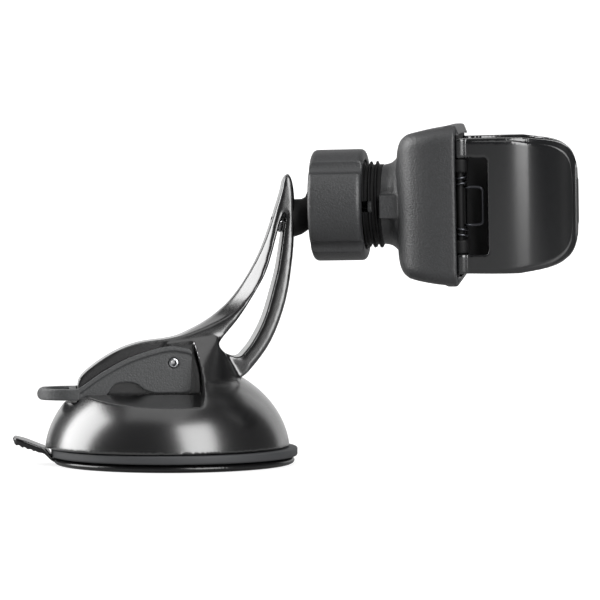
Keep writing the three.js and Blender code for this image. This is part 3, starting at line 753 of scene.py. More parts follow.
class MOUNT_OT_dome_and_arm(bpy.types.Operator):
    """Dome and arm: one black moulding, with the lever's pockets, the ridge and the two-legged arm"""

    bl_idname = "mount.dome_and_arm"
    bl_label = "Dome and arm"

    def execute(self, context):
        sizes = context.scene.mount_sizes
        radius, height = in_mm(sizes.dome_radius), in_mm(sizes.dome_height)
        bottom = PLATE_HIGH.z - 3 + 0.3
        dome = turned(dome_profile(radius, height, bottom, 31.8, 40), centre=(DOME_X, 0), steps=192)
        join(dome, self.shoulder(), self.arm(sizes))
        cut(dome, slab(self.opening(), "XZ", -30, 30), *self.lever_pockets())
        cut(dome, self.pin_slot())
        join(dome, self.stud_boss())
        mould(dome, 0.38, 7)
        soften(dome, self.root_flow, 60)
        soften(dome, self.leg_flow, 40)
        wall = in_mm(sizes.dome_wall)
        hollow = dome_profile(radius - wall, height - wall, 4, 16.2, 12)
        cut(dome, turned(hollow, centre=(DOME_X, 0), steps=96))
        cut(dome, rod(3.6, 4, 34.6, centre=(PIN_X, 0)), rod(6.6, 4, 24, centre=(PIN_X, 0)))
        for place in screw_places():
            cut(dome, rod(1.6, 4, 16, centre=place, steps=16))
        black = material_for(satin_black)
        finish_piece(dome, "dome_and_arm", IN_BASE, black, "base", ["dome_arm"])
        return {"FINISHED"}

    def pin_slot(self):
        """The upright slot in which the lever's pin rises and falls with the stem."""
        half, low = 1.8, PIN_Z - 3.4
        top = arc((PIN_X, PIN_Z), half, 0, 180, 16)
        return slab(top + arc((PIN_X, low), half, 180, 360, 16), "XZ", -20, 20)

    def arm(self, sizes):
        """Ridge and legs, narrowing to the tip: the rear leg is round, the front leg is chamfered."""
        rear, front = flowing(ARM_REAR, 4), flowing(ARM_FRONT, 4)
        tip = flowing([ARM_REAR[-1], (33.2, 86.8), (34.3, ARM_TOP - 0.3), ARM_FRONT[0]], 4)[1:-1]
        arm = slab(rear + tip + front + [(10, 14), (-24, 14)], "XZ", -12, 12)
        foot, top = in_mm(sizes.spine_half), in_mm(sizes.tip_half)
        side = [(foot + 1, 0), (foot + 0.1, 30), (top + 0.25, 80)]
        side += [(top - 0.4, 86.0), (top - 2.2, ARM_TOP + 1)]
        keep_inside(arm, slab(side + mirrored_sides(side), "YZ", -60, 60))
        for mirror in (1, -1):
            keep_inside(arm, self.broad_slope(rear, side, mirror))
        cut(arm, slab(self.opening(), "XZ", -30, 30))
        bevel_where(arm, lambda m: m.z > 29 and m.x > opening_middle(m.z) and abs(m.y) > 3, 1.1, 2)
        return arm

    def broad_slope(self, rear, side, mirror):
        """What lies in front of the broad slope along one side of the rear leg."""
        reach, slope = 14, 0.85
        heights = [(z, half) for half, z in side]
        outline = []
        for x, z in rear:
            start = value_at(heights, z) * (1 - 0.72 * ramp(x, -3, 12) + 0.62 * ramp(z, 54, 76))
            outline.append((x - slope * (start + reach), z))
        beyond = [(outline[-1][0] + 3, 95), (120, 95), (120, -30), (outline[0][0], -30)]
        return slab(outline + beyond, "XZ", -mirror * reach, mirror * reach, 2 * slope * reach)

    def opening(self):
        return flowing(OPENING_REAR, 4) + flowing(OPENING_FRONT, 4)

    def shoulder(self):
        """The slopes that fill the corner between the dome and the arm, up to the front leg's edge."""
        ring = [(x, y, 24.4) for x, y in arc((DOME_X, 0), 23.8, -110, 110, 40)]
        top = [(13, 8.2, 39.4), (-2, 8.4, 37.2), (-2, -8.4, 37.2), (13, -8.2, 39.4)]
        slopes = draw_line(ring + top)
        bpy.ops.mesh.convex_hull()
        close_mesh()
        edge = [(-4, 20), (-4, 41), (11.6, 41), (13.3, 35.4), (18.8, 25.7), (18.8, 20)]
        return keep_inside(slopes, slab(edge, "XZ", -40, 40))

    def stud_boss(self):
        """A round boss behind the front leg, which the ball stud's shank runs through."""
        boss = turned([(0, -16.1), (3.7, -16.1), (4.1, -15.7), (4.1, -12.6), (0, -12.6)], "X", steps=48)
        boss.matrix_world = TO_METRES.inverted() @ ON_STUD
        activate(boss)
        bpy.ops.object.transform_apply()
        return keep_inside(boss, block((0, 34.5), (-4.6, 4.6), (60, 90)))

    def lever_pockets(self):
        """Each cheek of the lever lies in a pocket whose floor slopes out to the dome's skin."""
        groove, inside = 19.2, CHEEK_IN - 0.3
        floor = [
            (45, 15.6),
            (CHEEK_OUT + 1.1, 21.4),
            (CHEEK_OUT + 0.6, groove),
            (inside, groove),
            (inside, 60),
            (45, 60),
        ]
        end = flowing([(5.2, 36), (7.0, 28.5), (7.5, 24), (7.2, 20.3), (5.6, 16.8), (2.0, 14)], 5)
        side = [(-60, 60), (5.2, 60), *end, (-60, 14)]
        pockets = []
        for mirror in (1, -1):
            pocket = slab([(mirror * y, z) for y, z in floor], "YZ", -60, 20)
            pockets.append(keep_inside(pocket, slab(side, "XZ", -50, 50)))
        half = CHEEK_OUT + 1.1
        return [*pockets, block((-60, -29.1), (-half, half), (groove - 0.4, 60))]

    def root_flow(self, point):
        """1 where the rear leg's foot runs softly into the dome."""
        x, y, z = point
        edge = value_at([(24, 19.2), (35.4, 13.3), (37, 12.8), (44, 18)], z)
        beside = ramp(x, 8.0, 11) * ramp(edge - x, 0, 2) * ramp(abs(y), 3, 8)
        return beside * ramp(z, 18, 23) * ramp(44 - z, 0, 4)

    def leg_flow(self, point):
        """1 on the rear leg, whose edges are round, and 0 where edges stay crisp."""
        x, _, z = point
        behind = opening_middle(z) - x
        return ramp(z, 35, 42) * ramp(84 - z, 0, 8) * ramp(behind, 0, 1.5)


def mirrored_sides(side):
    """The same line on the other side of y = 0, drawn backwards, which closes the outline."""
    return [(-y, z) for y, z in reversed(side)]


def ramp(value, low, high):
    """0 below low, 1 above high, and even between them."""
    return min(max((value - low) / (high - low), 0), 1)


def opening_middle(z):
    """Where the middle of the arm's opening lies at that height: the rear leg is behind it."""
    rear = [(height, x) for x, height in reversed(OPENING_REAR)]
    front = [(height, x) for x, height in OPENING_FRONT]
    return (value_at(rear, z) + value_at(front, z)) / 2


def value_at(line, place):
    """The value there on a line of (place, value) pairs, which goes on level past its ends."""
    if place <= line[0][0]:
        return line[0][1]
    for (p0, v0), (p1, v1) in zip(line, line[1:]):
        if place <= p1:
            return v0 + (v1 - v0) * (place - p0) / (p1 - p0)
    return line[-1][1]


# ---- ball stud and its nut ----
STUD_FACE = -12.4  # where the shank's flange meets the arm
STUD_NUT = (-17.9, -16.2)


class MOUNT_OT_ball_stud(bpy.types.Operator):
    """Ball stud: a ball on a short neck, held in the arm's tip by a nut; its near black is painted shade
    between the arm and the nut
    """

    bl_idname = "mount.ball_stud"
    bl_label = "Ball stud"

    def execute(self, context):
        neck = 4.4
        start = 180 - math.degrees(math.asin(neck / BALL_RADIUS))
        ball = [(max(r, 0), x) for x, r in arc((0, 0), BALL_RADIUS, start, 0, 40)]
        fillet = [(neck + 0.25, -8.3)]
        flange = [(5.5, STUD_FACE - 2.6), (5.6, STUD_FACE - 2.4), (5.55, STUD_FACE + 0.9)]
        shank = [(0, -19), (1.9, -19), (2.3, -18.6), (2.3, STUD_FACE - 2.6)]
        stud = turned([*shank, *flange, *fillet, *ball[1:]], "X", steps=96)
        # The stud's near-black finish is painted shade between the arm and the nut.
        black = material_for(painted_shade_black)
        finish_piece(stud, "ball_and_neck", ON_STUD, black, "base", ["ball_stud"])
        low, high = STUD_NUT
        hexagon = arc((0, 0), 3.3, 0, 300, 5)
        nut = slab(hexagon, "YZ", low, high)
        cut(nut, rod(2.42, low - 1, high + 1, "X"))
        round_edges(nut, 0.18, 2)
        steel = material_for(bright_steel)
        finish_piece(nut, "stud_locknut", ON_STUD, steel, "base", ["stud_nut"])
        return {"FINISHED"}


# ---- lever ----
LEVER_TOP = [
    (-29.8, 22.9),
    (-28.4, 23.3),
    (-25.4, 25.4),
    (-21.3, 28.2),
    (-13.7, 32.2),
    (-4.9, 35.0),
    (-0.5, 35.4),
    (3.2, 34.8),
]
LEVER_NOTCH = [
    (-6.4, 21.7),
    (-9.4, 22.6),
    (-11.6, 24.3),
    (-14.9, 24.9),
    (-18.2, 24.2),
    (-20.4, 21.4),
    (-21.6, 20.2),
    (-24.0, 19.6),
]


class MOUNT_OT_cam_lever(bpy.types.Operator):
    """Cam lever: two cheeks with a raised rim, joined by a handle with a finger loop, on a hollow pin"""

    bl_idname = "mount.cam_lever"
    bl_label = "Cam lever"

    def execute(self, context):
        rim = in_mm(context.scene.mount_sizes.lever_rim)
        corner = flowing([(3.2, 34.8), (4.25, 34.25), (4.6, 33.1)], 4)[1:]
        heel = arc((2.6, 23.6), 1.9, 0, -90, 8)
        handle = arc((LEVER_END + 1.65, 21.25), 1.65, 270, 90, 10)
        outline = flowing(LEVER_TOP, 5) + corner + heel + flowing(LEVER_NOTCH, 4) + handle
        lever = slab(outline, "XZ", -CHEEK_OUT, CHEEK_OUT)
        plan = rounded_rectangle(60, CHEEK_OUT, 11, 12, (60 + LEVER_END, 0))
        keep_inside(lever, slab(plan, "XY", 0, 60))
        cut(lever, block((-29.4, 30), (-CHEEK_IN, CHEEK_IN), (0, 60)))
        loop = [(x, 1.2 * y) for x, y in arc((-30.6, 0), 7.9, 97, 263, 24)]
        cut(lever, slab(loop, "XY", 0, 60))
        cut(lever, rod(1.52, -20, 20, "Y", (PIN_X, PIN_Z)))
        inner = [(x + 0.25, z - rim) for x, z in outline]
        for mirror in (1, -1):
            low, high = sorted((mirror * (CHEEK_OUT - 0.4), mirror * (CHEEK_OUT + 3)))
            recess = slab(inner, "XZ", low, high)
            cut(lever, keep_inside(recess, block((-28.5, 30), (-20, 20), (0, 60))))
        mould(lever, 0.26, 4)
        grey = material_for(lever_grey)
        finish_piece(lever, "lever_moulding", IN_BASE, grey, "lever", ["cam_lever"])
        self.pin()
        return {"FINISHED"}

    def pin(self):
        """A hollow pin with rolled ends."""
        outer, bore, half = 1.4, 0.8, PIN_HIGH.y
        end = [(outer, half - 0.35), (outer - 0.12, half - 0.08), (outer - 0.32, half)]
        mouth = [(bore + 0.12, half), (bore, half - 0.2)]
        side = [*mirrored(end[::-1]), *end, *mouth, *mirrored(mouth[::-1])]
        pin = turned([*side, side[0]], "Y", (PIN_X, PIN_Z), 64)
        steel = material_for(bright_steel)
        finish_piece(pin, "lever_axle", IN_BASE, steel, "lever", ["lever_pin"])


# ---- clamp nut ----
class MOUNT_OT_clamp_nut(bpy.types.Operator):
    """Clamp nut: four broad lobes with finger flutes between them, and rounded ends"""

    bl_idname = "mount.clamp_nut"
    bl_label = "Clamp nut"

    def execute(self, context):
        sizes = context.scene.mount_sizes
        radius, flute = in_mm(sizes.nut_radius), in_mm(sizes.nut_flute)
        nut = self.rounded_ends(radius)
        scoop = 3.0
        reach = (radius - flute + scoop) / math.sqrt(2)
        for y, z in [(1, 1), (-1, 1), (-1, -1), (1, -1)]:
            place = (y * reach, z * reach)
            cut(nut, rod(scoop, NUT_START - 1, NUT_END + 1, "X", place, 40))
        cut(nut, rod(13.5, COLLET_START - 0.3, NUT_END + 1, "X", steps=96))
        cut(nut, rod(9.7, NUT_START - 1, 0, "X", steps=96))
        mould(nut, 0.28, 4)
        grey = material_for(textured_grey)
        finish_piece(nut, "clamp_nut_moulding", IN_HOLDER, grey, "nut", ["clamp_nut"])
        return {"FINISHED"}

    def rounded_ends(self, radius, corner=1.5):
        first = arc((radius - corner, NUT_START + corner), corner, -90, 0, 6)
        last = arc((radius - corner, NUT_END - corner), corner, 0, 90, 6)
        return turned([(0, NUT_START), *first, *last, (0, NUT_END)], "X", steps=160)


# ---- housing and its threaded collet ----
# Half the housing's width, and half its height over the top and round to the back, at distances x.
HOUSING_WIDTHS = [
    (SHELL_BACK, 7.5),
    (21.0, 12.0),
    (22.0, 16.0),
    (24.4, 19.6),
    (27.8, 21.7),
    (32.5, 23.0),
    (36.5, 23.4),
    (SHELL_FRONT, SHELL_HALF),
]
HOUSING_TOP = [(SHELL_FRONT, SHELL_HALF), (37.2, 23.15), (33.2, 22.8), (27.8, 21.9), (24.6, 21.1)]
HOUSING_BACK = [(24.6, 21.1), (22.7, 19.6), (21.5, 17.2), (20.9, 14), (SHELL_BACK, 9)]


class MOUNT_OT_housing(bpy.types.Operator):
    """Housing: a pillow-shaped shell with a flared neck, and the slotted, threaded collet behind it"""

    bl_idname = "mount.housing"
    bl_label = "Housing and collet"

    def execute(self, context):
        sizes = context.scene.mount_sizes
        wall = in_mm(sizes.shell_wall)
        shell = self.pillow(0)
        neck = [(0, 12), (11.9, 12), (11.9, 15.6), *flowing([(12.0, 16.4), (12.6, 18.6), (14.6, 20.7)], 4)]
        join(shell, turned([*neck, (14.6, 24), (0, 24)], "X", steps=128))
        join(shell, block((15.8, 23), (-14.7, 14.7), (-3.4, 3.4)))
        join(shell, self.shoulders())
        cut(shell, self.pillow(wall))
        recess = rounded_rectangle(21.3, 21.3, 3)
        cut(shell, slab(recess, "YZ", SHELL_FRONT - 2.7, SHELL_FRONT + 0.1))
        cut(shell, block((SHELL_FRONT, 50), (-30, 30), (-JAW_HALF - 0.5, JAW_HALF + 0.5)))
        cut(shell, rod(8.2, 0, 40, "X", steps=96))
        mould(shell, 0.42, 4)
        grey = material_for(textured_grey)
        finish_piece(
            shell, "housing_shell", IN_HOLDER, grey, "holder", ["rear_housing"]
        )
        self.collet(in_mm(sizes.thread_pitch))
        return {"FINISHED"}

    def pillow(self, inset):
        """A rounded square drawn back from the front face, a little narrower and lower at each step.

        An inset makes the hollow inside the wall, which runs out through the front face.
        """
        half = SHELL_HALF - inset
        here = SHELL_FRONT + 1 if inset else SHELL_FRONT
        piece = draw_line([(here, y, z) for y, z in rounded_rectangle(half, half, 4.5, 8)])
        bpy.ops.mesh.edge_face_add()
        wide = tall = SHELL_HALF
        widths = flowing(HOUSING_WIDTHS, 4)
        heights = flowing(HOUSING_TOP, 3) + flowing(HOUSING_BACK, 3)[1:]
        for x, height in heights[1:]:
            there = max(x, SHELL_BACK + inset)
            width = value_at(widths, x)
            bpy.ops.mesh.extrude_region_move(TRANSFORM_OT_translate={"value": (there - here, 0, 0)})
            ratios = (1, (width - inset) / (wide - inset), (height - inset) / (tall - inset))
            bpy.ops.transform.resize(value=ratios, center_override=(there, 0, 0))
            here, wide, tall = there, width, height
        close_mesh()
        return piece

    def shoulders(self):
        """A wedge above and below the jaws, which stands proud of the front face beside them."""
        near, far = JAW_HALF + 0.5, SHELL_HALF
        crest = [(SHELL_FRONT + 1.3, near), (SHELL_FRONT + 1.1, near + 0.6)]
        wedge = [(36, near), *crest, (SHELL_FRONT, far), (36, far)]
        upper = slab(wedge, "XZ", -SHELL_HALF + 4, SHELL_HALF - 4)
        return join(upper, slab(mirrored(wedge), "XZ", -SHELL_HALF + 4, SHELL_HALF - 4))

    def collet(self, pitch):
        """The sleeve that squeezes the ball: a helical thread outside, a round socket and four slits."""
        core, crest, first, last = 12.1, 13.2, 9.4, 15.6
        socket = [(r, x) for x, r in arc((0, 0), 9.5, 112, 60, 12)]
        bore = [(8.2, 8), (8.2, 22)]
        outside = [(11.6, 22), (11.6, 16.4), (core, 15.9), (core, -0.4), (10.9, COLLET_START)]
        sleeve = turned([*socket, *bore, *outside, socket[0]], "X", steps=128)
        join(sleeve, self.thread(core, crest, first, last, pitch))
        half = 1.65
        cut(sleeve, block((COLLET_START - 1, 13.4), (-half, half), (-20, 20)))
        cut(sleeve, block((COLLET_START - 1, 13.4), (-20, 20), (-half, half)))
        # The collet's near-black finish is painted shade on the thread between the housing and the nut.
        black = material_for(painted_shade_black)
        finish_piece(sleeve, "threaded_collet", IN_HOLDER, black, "holder", sharp=30)

    def thread(self, core, crest, first, last, pitch):
        """One helical ridge, wound on a little under the core's surface."""
        turns = (last - first) / pitch
        foot = core - 0.5
        ridge = [(foot, -0.75), (crest - 0.12, -0.16), (crest - 0.12, 0.16), (foot, 0.75)]
        piece = draw_line([(first + x, 0, -r) for r, x in ridge] + [(first - 0.75, 0, -foot)])
        bpy.ops.object.mode_set(mode="OBJECT")
        apply_modifier(
            piece,
            "SCREW",
            axis="X",
            angle=FULL_TURN * turns,
            screw_offset=last - first,
            steps=int(96 * turns),
            render_steps=int(96 * turns),
            use_merge_vertices=True,
        )
        bpy.ops.object.mode_set(mode="EDIT")
        bpy.ops.mesh.select_all(action="SELECT")
        bpy.ops.mesh.remove_doubles(threshold=0.001)
        bpy.ops.mesh.select_all(action="DESELECT")
        bpy.ops.mesh.select_non_manifold()
        bpy.ops.mesh.fill_holes(sides=8)
        close_mesh()
        return piece


# ---- front plate, pad ----
class MOUNT_OT_front_plate(bpy.types.Operator):
    """Front plate: closes the housing, carries the jaws' axles in its lugs and the phone's pad"""

    bl_idname = "mount.front_plate"
    bl_label = "Front plate and pad"

    def execute(self, context):
        back = SHELL_FRONT - 2.4
        plate = slab(rounded_rectangle(21, 21, 2.7), "YZ", back, SHELL_FRONT)
        join(plate, slab(rounded_rectangle(12.6, 18.6, 2), "YZ", back, PLATEAU))
        for side in (-1, 1):
            low, high = sorted((side * 15, side * 25))
            cut(plate, block((30, 50), (low, high), (-JAW_HALF - 0.5, JAW_HALF + 0.5)))
        for side in (-1, 1):
            for level in (-1, 1):
                y0, y1 = sorted((side * 12.4, side * PIVOT_Y))
                z0, z1 = sorted((level * 9.9, level * 13.7))
                join(plate, block((SHELL_FRONT - 1.3, PIVOT + 2.2), (y0, y1), (z0, z1)))
                join(plate, rod(2.3, z0, z1, centre=(PIVOT, side * PIVOT_Y)))
            cut(plate, rod(1.22, -30, 30, centre=(PIVOT, side * PIVOT_Y)))
        for y in (-9, 9):
            for z in (-14.5, 14.5):
                cut(plate, rod(1.5, 30, 60, "X", (y, z)), rod(2.6, PLATEAU - 1.7, 60, "X", (y, z)))
        mould(plate, 0.3, 2)
        # The carrier's near-black finish is painted shade inside the jaws' windows.
        black = material_for(painted_shade_black)
        finish_piece(plate, "jaw_carrier", IN_HOLDER, black, "holder", ["front_plate"])
        self.pad(in_mm(context.scene.mount_sizes.rib_spacing))
        self.axles()
        return {"FINISHED"}

    def pad(self, spacing):
        """A rubber pad with ribs across it, for the phone's back."""
        pad = slab(rounded_rectangle(12.4, 18.4, 2), "YZ", PLATEAU + 0.15, PAD_FRONT - 0.6)
        count = int(16.4 * 2 / spacing)
        for i in range(count + 1):
            z = (i - count / 2) * spacing
            rib = [(-10.8, z), *arc((-10.5, z), 0.75, 180, 90, 3), *arc((10.5, z), 0.75, 90, -90, 6)]
            rib += arc((-10.5, z), 0.75, 270, 200, 3)
            join(pad, slab(rib, "YZ", PAD_FRONT - 1, PAD_FRONT))
        mould(pad, 0.22, 2)
        rubber = material_for(pad_rubber)
        finish_piece(pad, "phone_rest_pad", IN_HOLDER, rubber, "holder", ["phone_pad"])

    def axles(self):
        """Two pins with low domed ends, black as painted shade between the lugs."""
        half, radius, flatness = 18.6, 1.1, 0.36
        end = [(r, half + flatness * h) for h, r in arc((0, 0), radius, 90, 0, 6)]
        # The axles' black finish is painted shade between the lugs.
        black = material_for(painted_shade_black)
        for side, where in ((-1, "near"), (1, "far")):
            pin = turned(mirrored(end[::-1]) + end, centre=(PIVOT, side * PIVOT_Y), steps=48)
            name, node = f"jaw_axle_{where}", f"axle_{where}"
            finish_piece(pin, name, IN_HOLDER, black, "holder", [node])


# ---- jaws ----
JAW_OUTSIDE = [
    (42.0, 19.9),
    (45.0, 21.0),
    (50.0, 22.0),
    (55.0, 22.0),
    (60.0, 20.4),
    (64.5, 16.8),
    (68.3, 11.2),
    (71.2, 5.2),
    (73.4, 1.4),
]
JAW_INSIDE = [
    (70.4, 0.3),
    (68.9, 3.9),
    (66.1, 9.9),
    (62.8, 15.0),
    (59.0, 18.1),
    (54.6, 19.5),
    (50.0, 19.5),
    (45.5, 18.5),
    (42.0, 17.4),
]
JAW_EDGE = [(57.0, 19.7), (66.5, 18.4), (70.6, 16.6), (72.7, 14.0), (73.9, 9.5), (74.3, 0.0)]


class MOUNT_OT_jaws(bpy.types.Operator):
    """Jaws: two curved plates with a window at the hinge, ribbed grip pads and their springs"""

    bl_idname = "mount.jaws"
    bl_label = "Jaws"

    def execute(self, context):
        sizes = context.scene.mount_sizes
        jaw = self.jaw()
        pad = self.grip_pad(in_mm(sizes.rib_spacing))
        spring = self.spring(in_mm(sizes.spring_wire))
        self.pair(jaw, "jaw_{}_moulding", jaw_grey, "jaw_grey", "jaw_{}")
        self.pair(pad, "grip_pad_{}_moulding", pad_rubber, "pad_rubber", "grip_pad_{}")
        # The springs' darkened steel is painted shade inside the jaws' windows.
        self.pair(spring, "torsion_spring_{}", shade_darkened_spring_steel, "steel", "jaw_spring_{}", 60)
        return {"FINISHED"}

    def pair(self, far, name, finish, slot, node, sharp=40):
        """Finishes the far piece and its near twin, on their jaws or, for the springs, on the holder."""
        near = copy_across(far)
        material = material_for(finish)
        for piece, where, jaw_body in ((near, "near", "left_jaw"), (far, "far", "right_jaw")):
            body = "holder" if finish is shade_darkened_spring_steel else jaw_body
            replaced = [node.format(where)]
            finish_piece(piece, name.format(where), IN_HOLDER, material, body, replaced, sharp)

    def jaw(self):
        lip = arc((JAW_TIP - 0.75, 0.95), 0.75, 40, -60, 4)
        section = flowing(JAW_OUTSIDE, 6) + lip + flowing(JAW_INSIDE, 6)
        jaw = slab(section, "XY", -JAW_HALF, JAW_HALF)
        edge = [(30, JAW_HALF), *flowing(JAW_EDGE, 6)]
        keep_inside(jaw, slab(edge + [(x, -z) for x, z in reversed(edge)][1:], "XZ", -60, 60))
        cut(jaw, self.rim_step())
        join(jaw, rod(2.6, -JAW_HALF, JAW_HALF, centre=(PIVOT, PIVOT_Y), steps=64))
        join(jaw, block((PIVOT, 44), (17.2, 19.9), (-JAW_HALF, JAW_HALF)))
        window = rounded_rectangle(18.3, 14.1, 1.2, 6, (30, 0))
        cut(jaw, slab(window, "XZ", 10, 30))
        cut(jaw, rod(1.22, -19.2, 19.2, centre=(PIVOT, PIVOT_Y)))
        return mould(jaw, 0.3, 5)

    def rim_step(self):
        """What is cut from the outside round a jaw's free edges, so that its face ends in a contour."""
        skin = [(x - 0.35, y - 0.5) for x, y in flowing(JAW_OUTSIDE, 6)]
        outer = slab([*skin, (90, 1), (90, 40), (42, 40)], "XY", -30, 30)
        contour = [(56, 18.6), (65, 17.1), (68.9, 15.4), (71.0, 13.1), (72.1, 9.2), (72.5, 0)]
        inset = [(30, 18.7), *flowing(contour, 6)]
        return cut(outer, slab(inset + [(x, -z) for x, z in reversed(inset)][1:], "XZ", -60, 60))

    def grip_pad(self, spacing):
        inside = [p for p in flowing(JAW_INSIDE, 6) if 50.5 < p[0] < 69]
        face = [(x - 0.12, y - 0.12) for x, y in inside]
        back = [(x - 0.6, y - 0.8) for x, y in reversed(inside)]
        pad = slab(face + back, "XY", -15.5, 15.5)
        ridge = [(x - 0.85, y - 1.1) for x, y in reversed(inside)]
        count = int(2 * 14 / spacing)
        for i in range(count + 1):
            z = (i - count / 2) * spacing
            join(pad, slab(face[2:-2] + ridge[2:-2], "XY", z - 0.55, z + 0.55))
        return mould(pad, 0.24, 1)

    def spring(self, radius):
        """Double torsion spring: two coils on the axle, joined by a bar that pushes on the jaw."""
        turns, per_turn, reach = 2.25, 24, 1.95
        count = int(turns * per_turn)
        coil = []
        for i in range(count + 1):
            angle = FULL_TURN * i / per_turn
            height = 5.4 + 3.6 * i / count
            coil.append((PIVOT + reach * math.cos(angle), PIVOT_Y - reach * math.sin(angle), height))
        bar = flowing([coil[0], (43.5, 18.1, 5.55), (45.9, 18.1, 5.3), (46.6, 18.1, 4.4)], 4)[1:]
        tail = (PIVOT - 1.2, PIVOT_Y - 2.6, 9.3)
        upper = [tail, *reversed(coil), *bar]
        lower = [(x, y, -z) for x, y, z in reversed(upper)]
        return wire(upper + lower, radius)


# ---- carried-over parts ----
HIDDEN_FINISHES = {
    **{f"base_screw_{i}": bright_steel for i in (1, 2, 3)},
    **{f"plate_screw_{i}": bright_steel for i in (1, 2, 3, 4)},
    "stem_spring": bright_steel,
    "stem": textured_grey,
    "ball_seat_rear": textured_grey,
    "ball_seat_front": textured_grey,
    "pressure_ring": satin_black,
}


class MOUNT_OT_inner_parts(bpy.types.Operator):
    """Inner parts: finishes for the screws, the stem and its spring, the ball seats and their ring"""

    bl_idname = "mount.inner_parts"
    bl_label = "Inner parts"

    def execute(self, context):
        for name, finish in HIDDEN_FINISHES.items():
            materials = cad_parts[name].data.materials
            materials.clear()
            materials.append(material_for(finish))
        return {"FINISHED"}


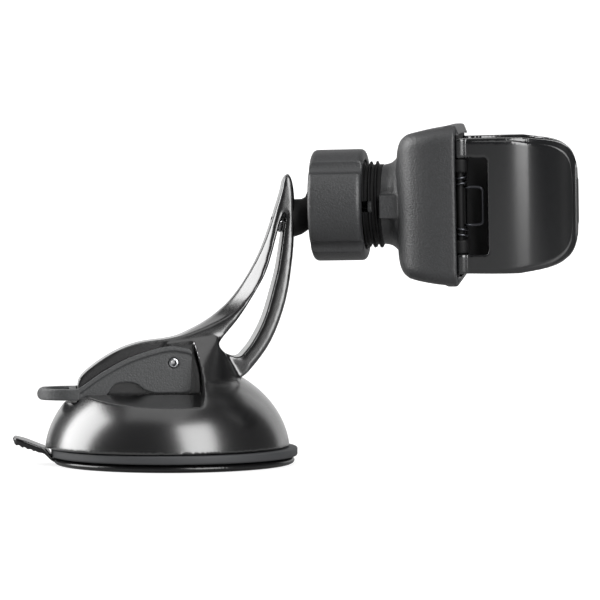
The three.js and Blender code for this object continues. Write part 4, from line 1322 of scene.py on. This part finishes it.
# ---- stage ----
class MOUNT_OT_stage(bpy.types.Operator):
    """Stage: a pale floor and backdrop, soft studio light and the camera"""

    bl_idname = "mount.stage"
    bl_label = "Stage"

    def execute(self, context):
        self.floor(context.scene)
        self.backdrop()
        self.lamps()
        self.world(context.scene)
        self.camera(context.scene)
        context.scene.view_settings.view_transform = "Standard"
        return {"FINISHED"}

    def seen(self, tree, glossy):
        """1 for rays from the camera and through glass, that share for mirror rays, 0 for the rest."""
        path = add_node(tree, "ShaderNodeLightPath").outputs
        direct = {0: path["Is Camera Ray"], 1: path["Is Transmission Ray"]}
        straight = add_node(tree, "ShaderNodeMath", direct, operation="MAXIMUM")
        mirrored_too = {0: path["Is Glossy Ray"], 2: straight.outputs[0]}
        share = add_node(tree, "ShaderNodeMath", mirrored_too, operation="MULTIPLY_ADD")
        share.inputs[1].default_value = glossy
        return share.outputs[0]

    def white_board(self, name, surface, glow, glossy):
        """Painted board that looks white, and takes the object's shadow where its glow is below 1."""
        material, tree, _, shader = new_material(name)
        shader.inputs["Base Color"].default_value = (*surface, 1)
        shader.inputs["Roughness"].default_value = 0.9
        shadowed = 0.36
        veil = add_node(tree, "ShaderNodeEmission", Strength=glow)
        dimmed = add_node(tree, "ShaderNodeBsdfDiffuse", Color=(shadowed, shadowed, shadowed, 1))
        both = add_node(tree, "ShaderNodeAddShader", {0: veil.outputs[0], 1: dimmed.outputs[0]})
        shaders = {0: self.seen(tree, glossy), 1: shader.outputs["BSDF"], 2: both.outputs[0]}
        mix = add_node(tree, "ShaderNodeMixShader", shaders)
        output = next(n for n in tree.nodes if n.type == "OUTPUT_MATERIAL")
        tree.links.new(mix.outputs[0], output.inputs["Surface"])
        return material

    def floor(self, scene):
        """A white board that keeps the object's soft shadow."""
        begin()
        bpy.ops.mesh.primitive_plane_add(size=2.4, location=(0, 0, 0))
        floor = bpy.context.object
        floor.name = "floor"
        surface = scene.mount_finishes.floor_grey
        floor.data.materials.append(self.white_board("Matte white board", surface, 0.8, 0.1))

    def backdrop(self):
        """White paper behind the object, just past what the camera sees."""
        begin()
        bpy.ops.mesh.primitive_plane_add(size=1, location=(0.1, 0.7, 0.49), rotation=(math.pi / 2, 0, 0))
        paper = bpy.context.object
        paper.name = "backdrop"
        paper.data.materials.append(self.white_board("White paper", (0.4, 0.4, 0.4), 1.0, 0.35))

    def lamps(self):
        """Soft boxes: a tall key in front on the right, one on the left, weak ones behind and above."""
        target = Vector((0.02, 0, 0.05))
        lamps = [
            ("key_softbox", 28, 1.0, 0.46, (0.62, 0.98), 6.4),
            ("left_softbox", -101, 0.9, 0.42, (0.7, 0.85), 6.6),
            ("right_softbox", 132, 0.9, 0.3, (0.3, 0.8), 0.8),
            ("top_softbox", -20, 0.25, 1.2, (1.1, 1.1), 0.9),
        ]
        for name, azimuth, away, height, (width, tall), radiance in lamps:
            angle = math.radians(azimuth)
            place = Vector((math.sin(angle) * away, -math.cos(angle) * away, height))
            begin()
            bpy.ops.object.light_add(type="AREA", location=place)
            lamp = bpy.context.object
            lamp.name = name
            lamp.data.shape = "RECTANGLE"
            lamp.data.size = width
            lamp.data.size_y = tall
            lamp.data.energy = radiance * math.pi * width * tall
            lamp.rotation_euler = (target - place).to_track_quat("-Z", "Y").to_euler()

    def world(self, scene):
        """A plain grey room, white to the camera and dark in reflections."""
        world = bpy.data.worlds.new("Studio room")
        world.use_nodes = True
        tree = world.node_tree
        background = next(n for n in tree.nodes if n.type == "BACKGROUND")
        path = add_node(tree, "ShaderNodeLightPath").outputs
        room, mirrored_room = 0.16, 0.1
        white = add_node(
            tree, "ShaderNodeMath", {0: path["Is Camera Ray"]}, operation="MULTIPLY_ADD"
        )
        white.inputs[1].default_value = 1 - room
        white.inputs[2].default_value = room
        darker = {0: path["Is Glossy Ray"], 2: white.outputs[0]}
        dark = add_node(tree, "ShaderNodeMath", darker, operation="MULTIPLY_ADD")
        dark.inputs[1].default_value = mirrored_room - room
        tree.links.new(dark.outputs[0], background.inputs["Strength"])
        background.inputs["Color"].default_value = (1, 1, 1, 1)
        scene.world = world

    def camera(self, scene):
        """A long lens close to the floor, looking along +Y and a little from the base's side."""
        target = Vector((37.84, 0, 49.03)) * MM
        distance, azimuth, elevation = 0.63025, math.radians(-6.0), math.radians(0.3)
        towards = Vector(
            (
                -math.sin(azimuth) * math.cos(elevation),
                math.cos(azimuth) * math.cos(elevation),
                -math.sin(elevation),
            )
        )
        begin()
        bpy.ops.object.camera_add(location=target - towards * distance)
        camera = bpy.context.object
        camera.rotation_euler = towards.to_track_quat("-Z", "Y").to_euler()
        camera.data.sensor_width = 36
        camera.data.lens = 125.07
        camera.data.clip_start = 0.01
        scene.camera = camera


OPERATORS = [
    MOUNT_OT_suction_cup,
    MOUNT_OT_base_ring,
    MOUNT_OT_dome_and_arm,
    MOUNT_OT_ball_stud,
    MOUNT_OT_cam_lever,
    MOUNT_OT_clamp_nut,
    MOUNT_OT_housing,
    MOUNT_OT_front_plate,
    MOUNT_OT_jaws,
    MOUNT_OT_inner_parts,
    MOUNT_OT_stage,
]


class MOUNT_PT_panel(bpy.types.Panel):
    """Lists the phone mount's pieces in the sidebar"""

    bl_idname = "MOUNT_PT_panel"
    bl_label = "Phone Mount"
    bl_space_type = "VIEW_3D"
    bl_region_type = "UI"
    bl_category = "Phone Mount"

    def draw(self, context):
        for operator in OPERATORS:
            self.layout.operator(operator.bl_idname)
        for group in (context.scene.mount_sizes, context.scene.mount_finishes):
            for name in group.bl_rna.properties.keys():
                if name not in ("rna_type", "name"):
                    self.layout.prop(group, name)


CLASSES = [MountSizes, MountFinishes, *OPERATORS, MOUNT_PT_panel]


def register():
    for part in CLASSES:
        bpy.utils.register_class(part)
    bpy.types.Scene.mount_sizes = bpy.props.PointerProperty(type=MountSizes)
    bpy.types.Scene.mount_finishes = bpy.props.PointerProperty(type=MountFinishes)


def unregister():
    del bpy.types.Scene.mount_finishes
    del bpy.types.Scene.mount_sizes
    for part in reversed(CLASSES):
        bpy.utils.unregister_class(part)


def main():
    register()
    for operator in OPERATORS:
        group, name = operator.bl_idname.split(".")
        getattr(getattr(bpy.ops, group), name)()
    begin()


if __name__ == "__main__":
    main()
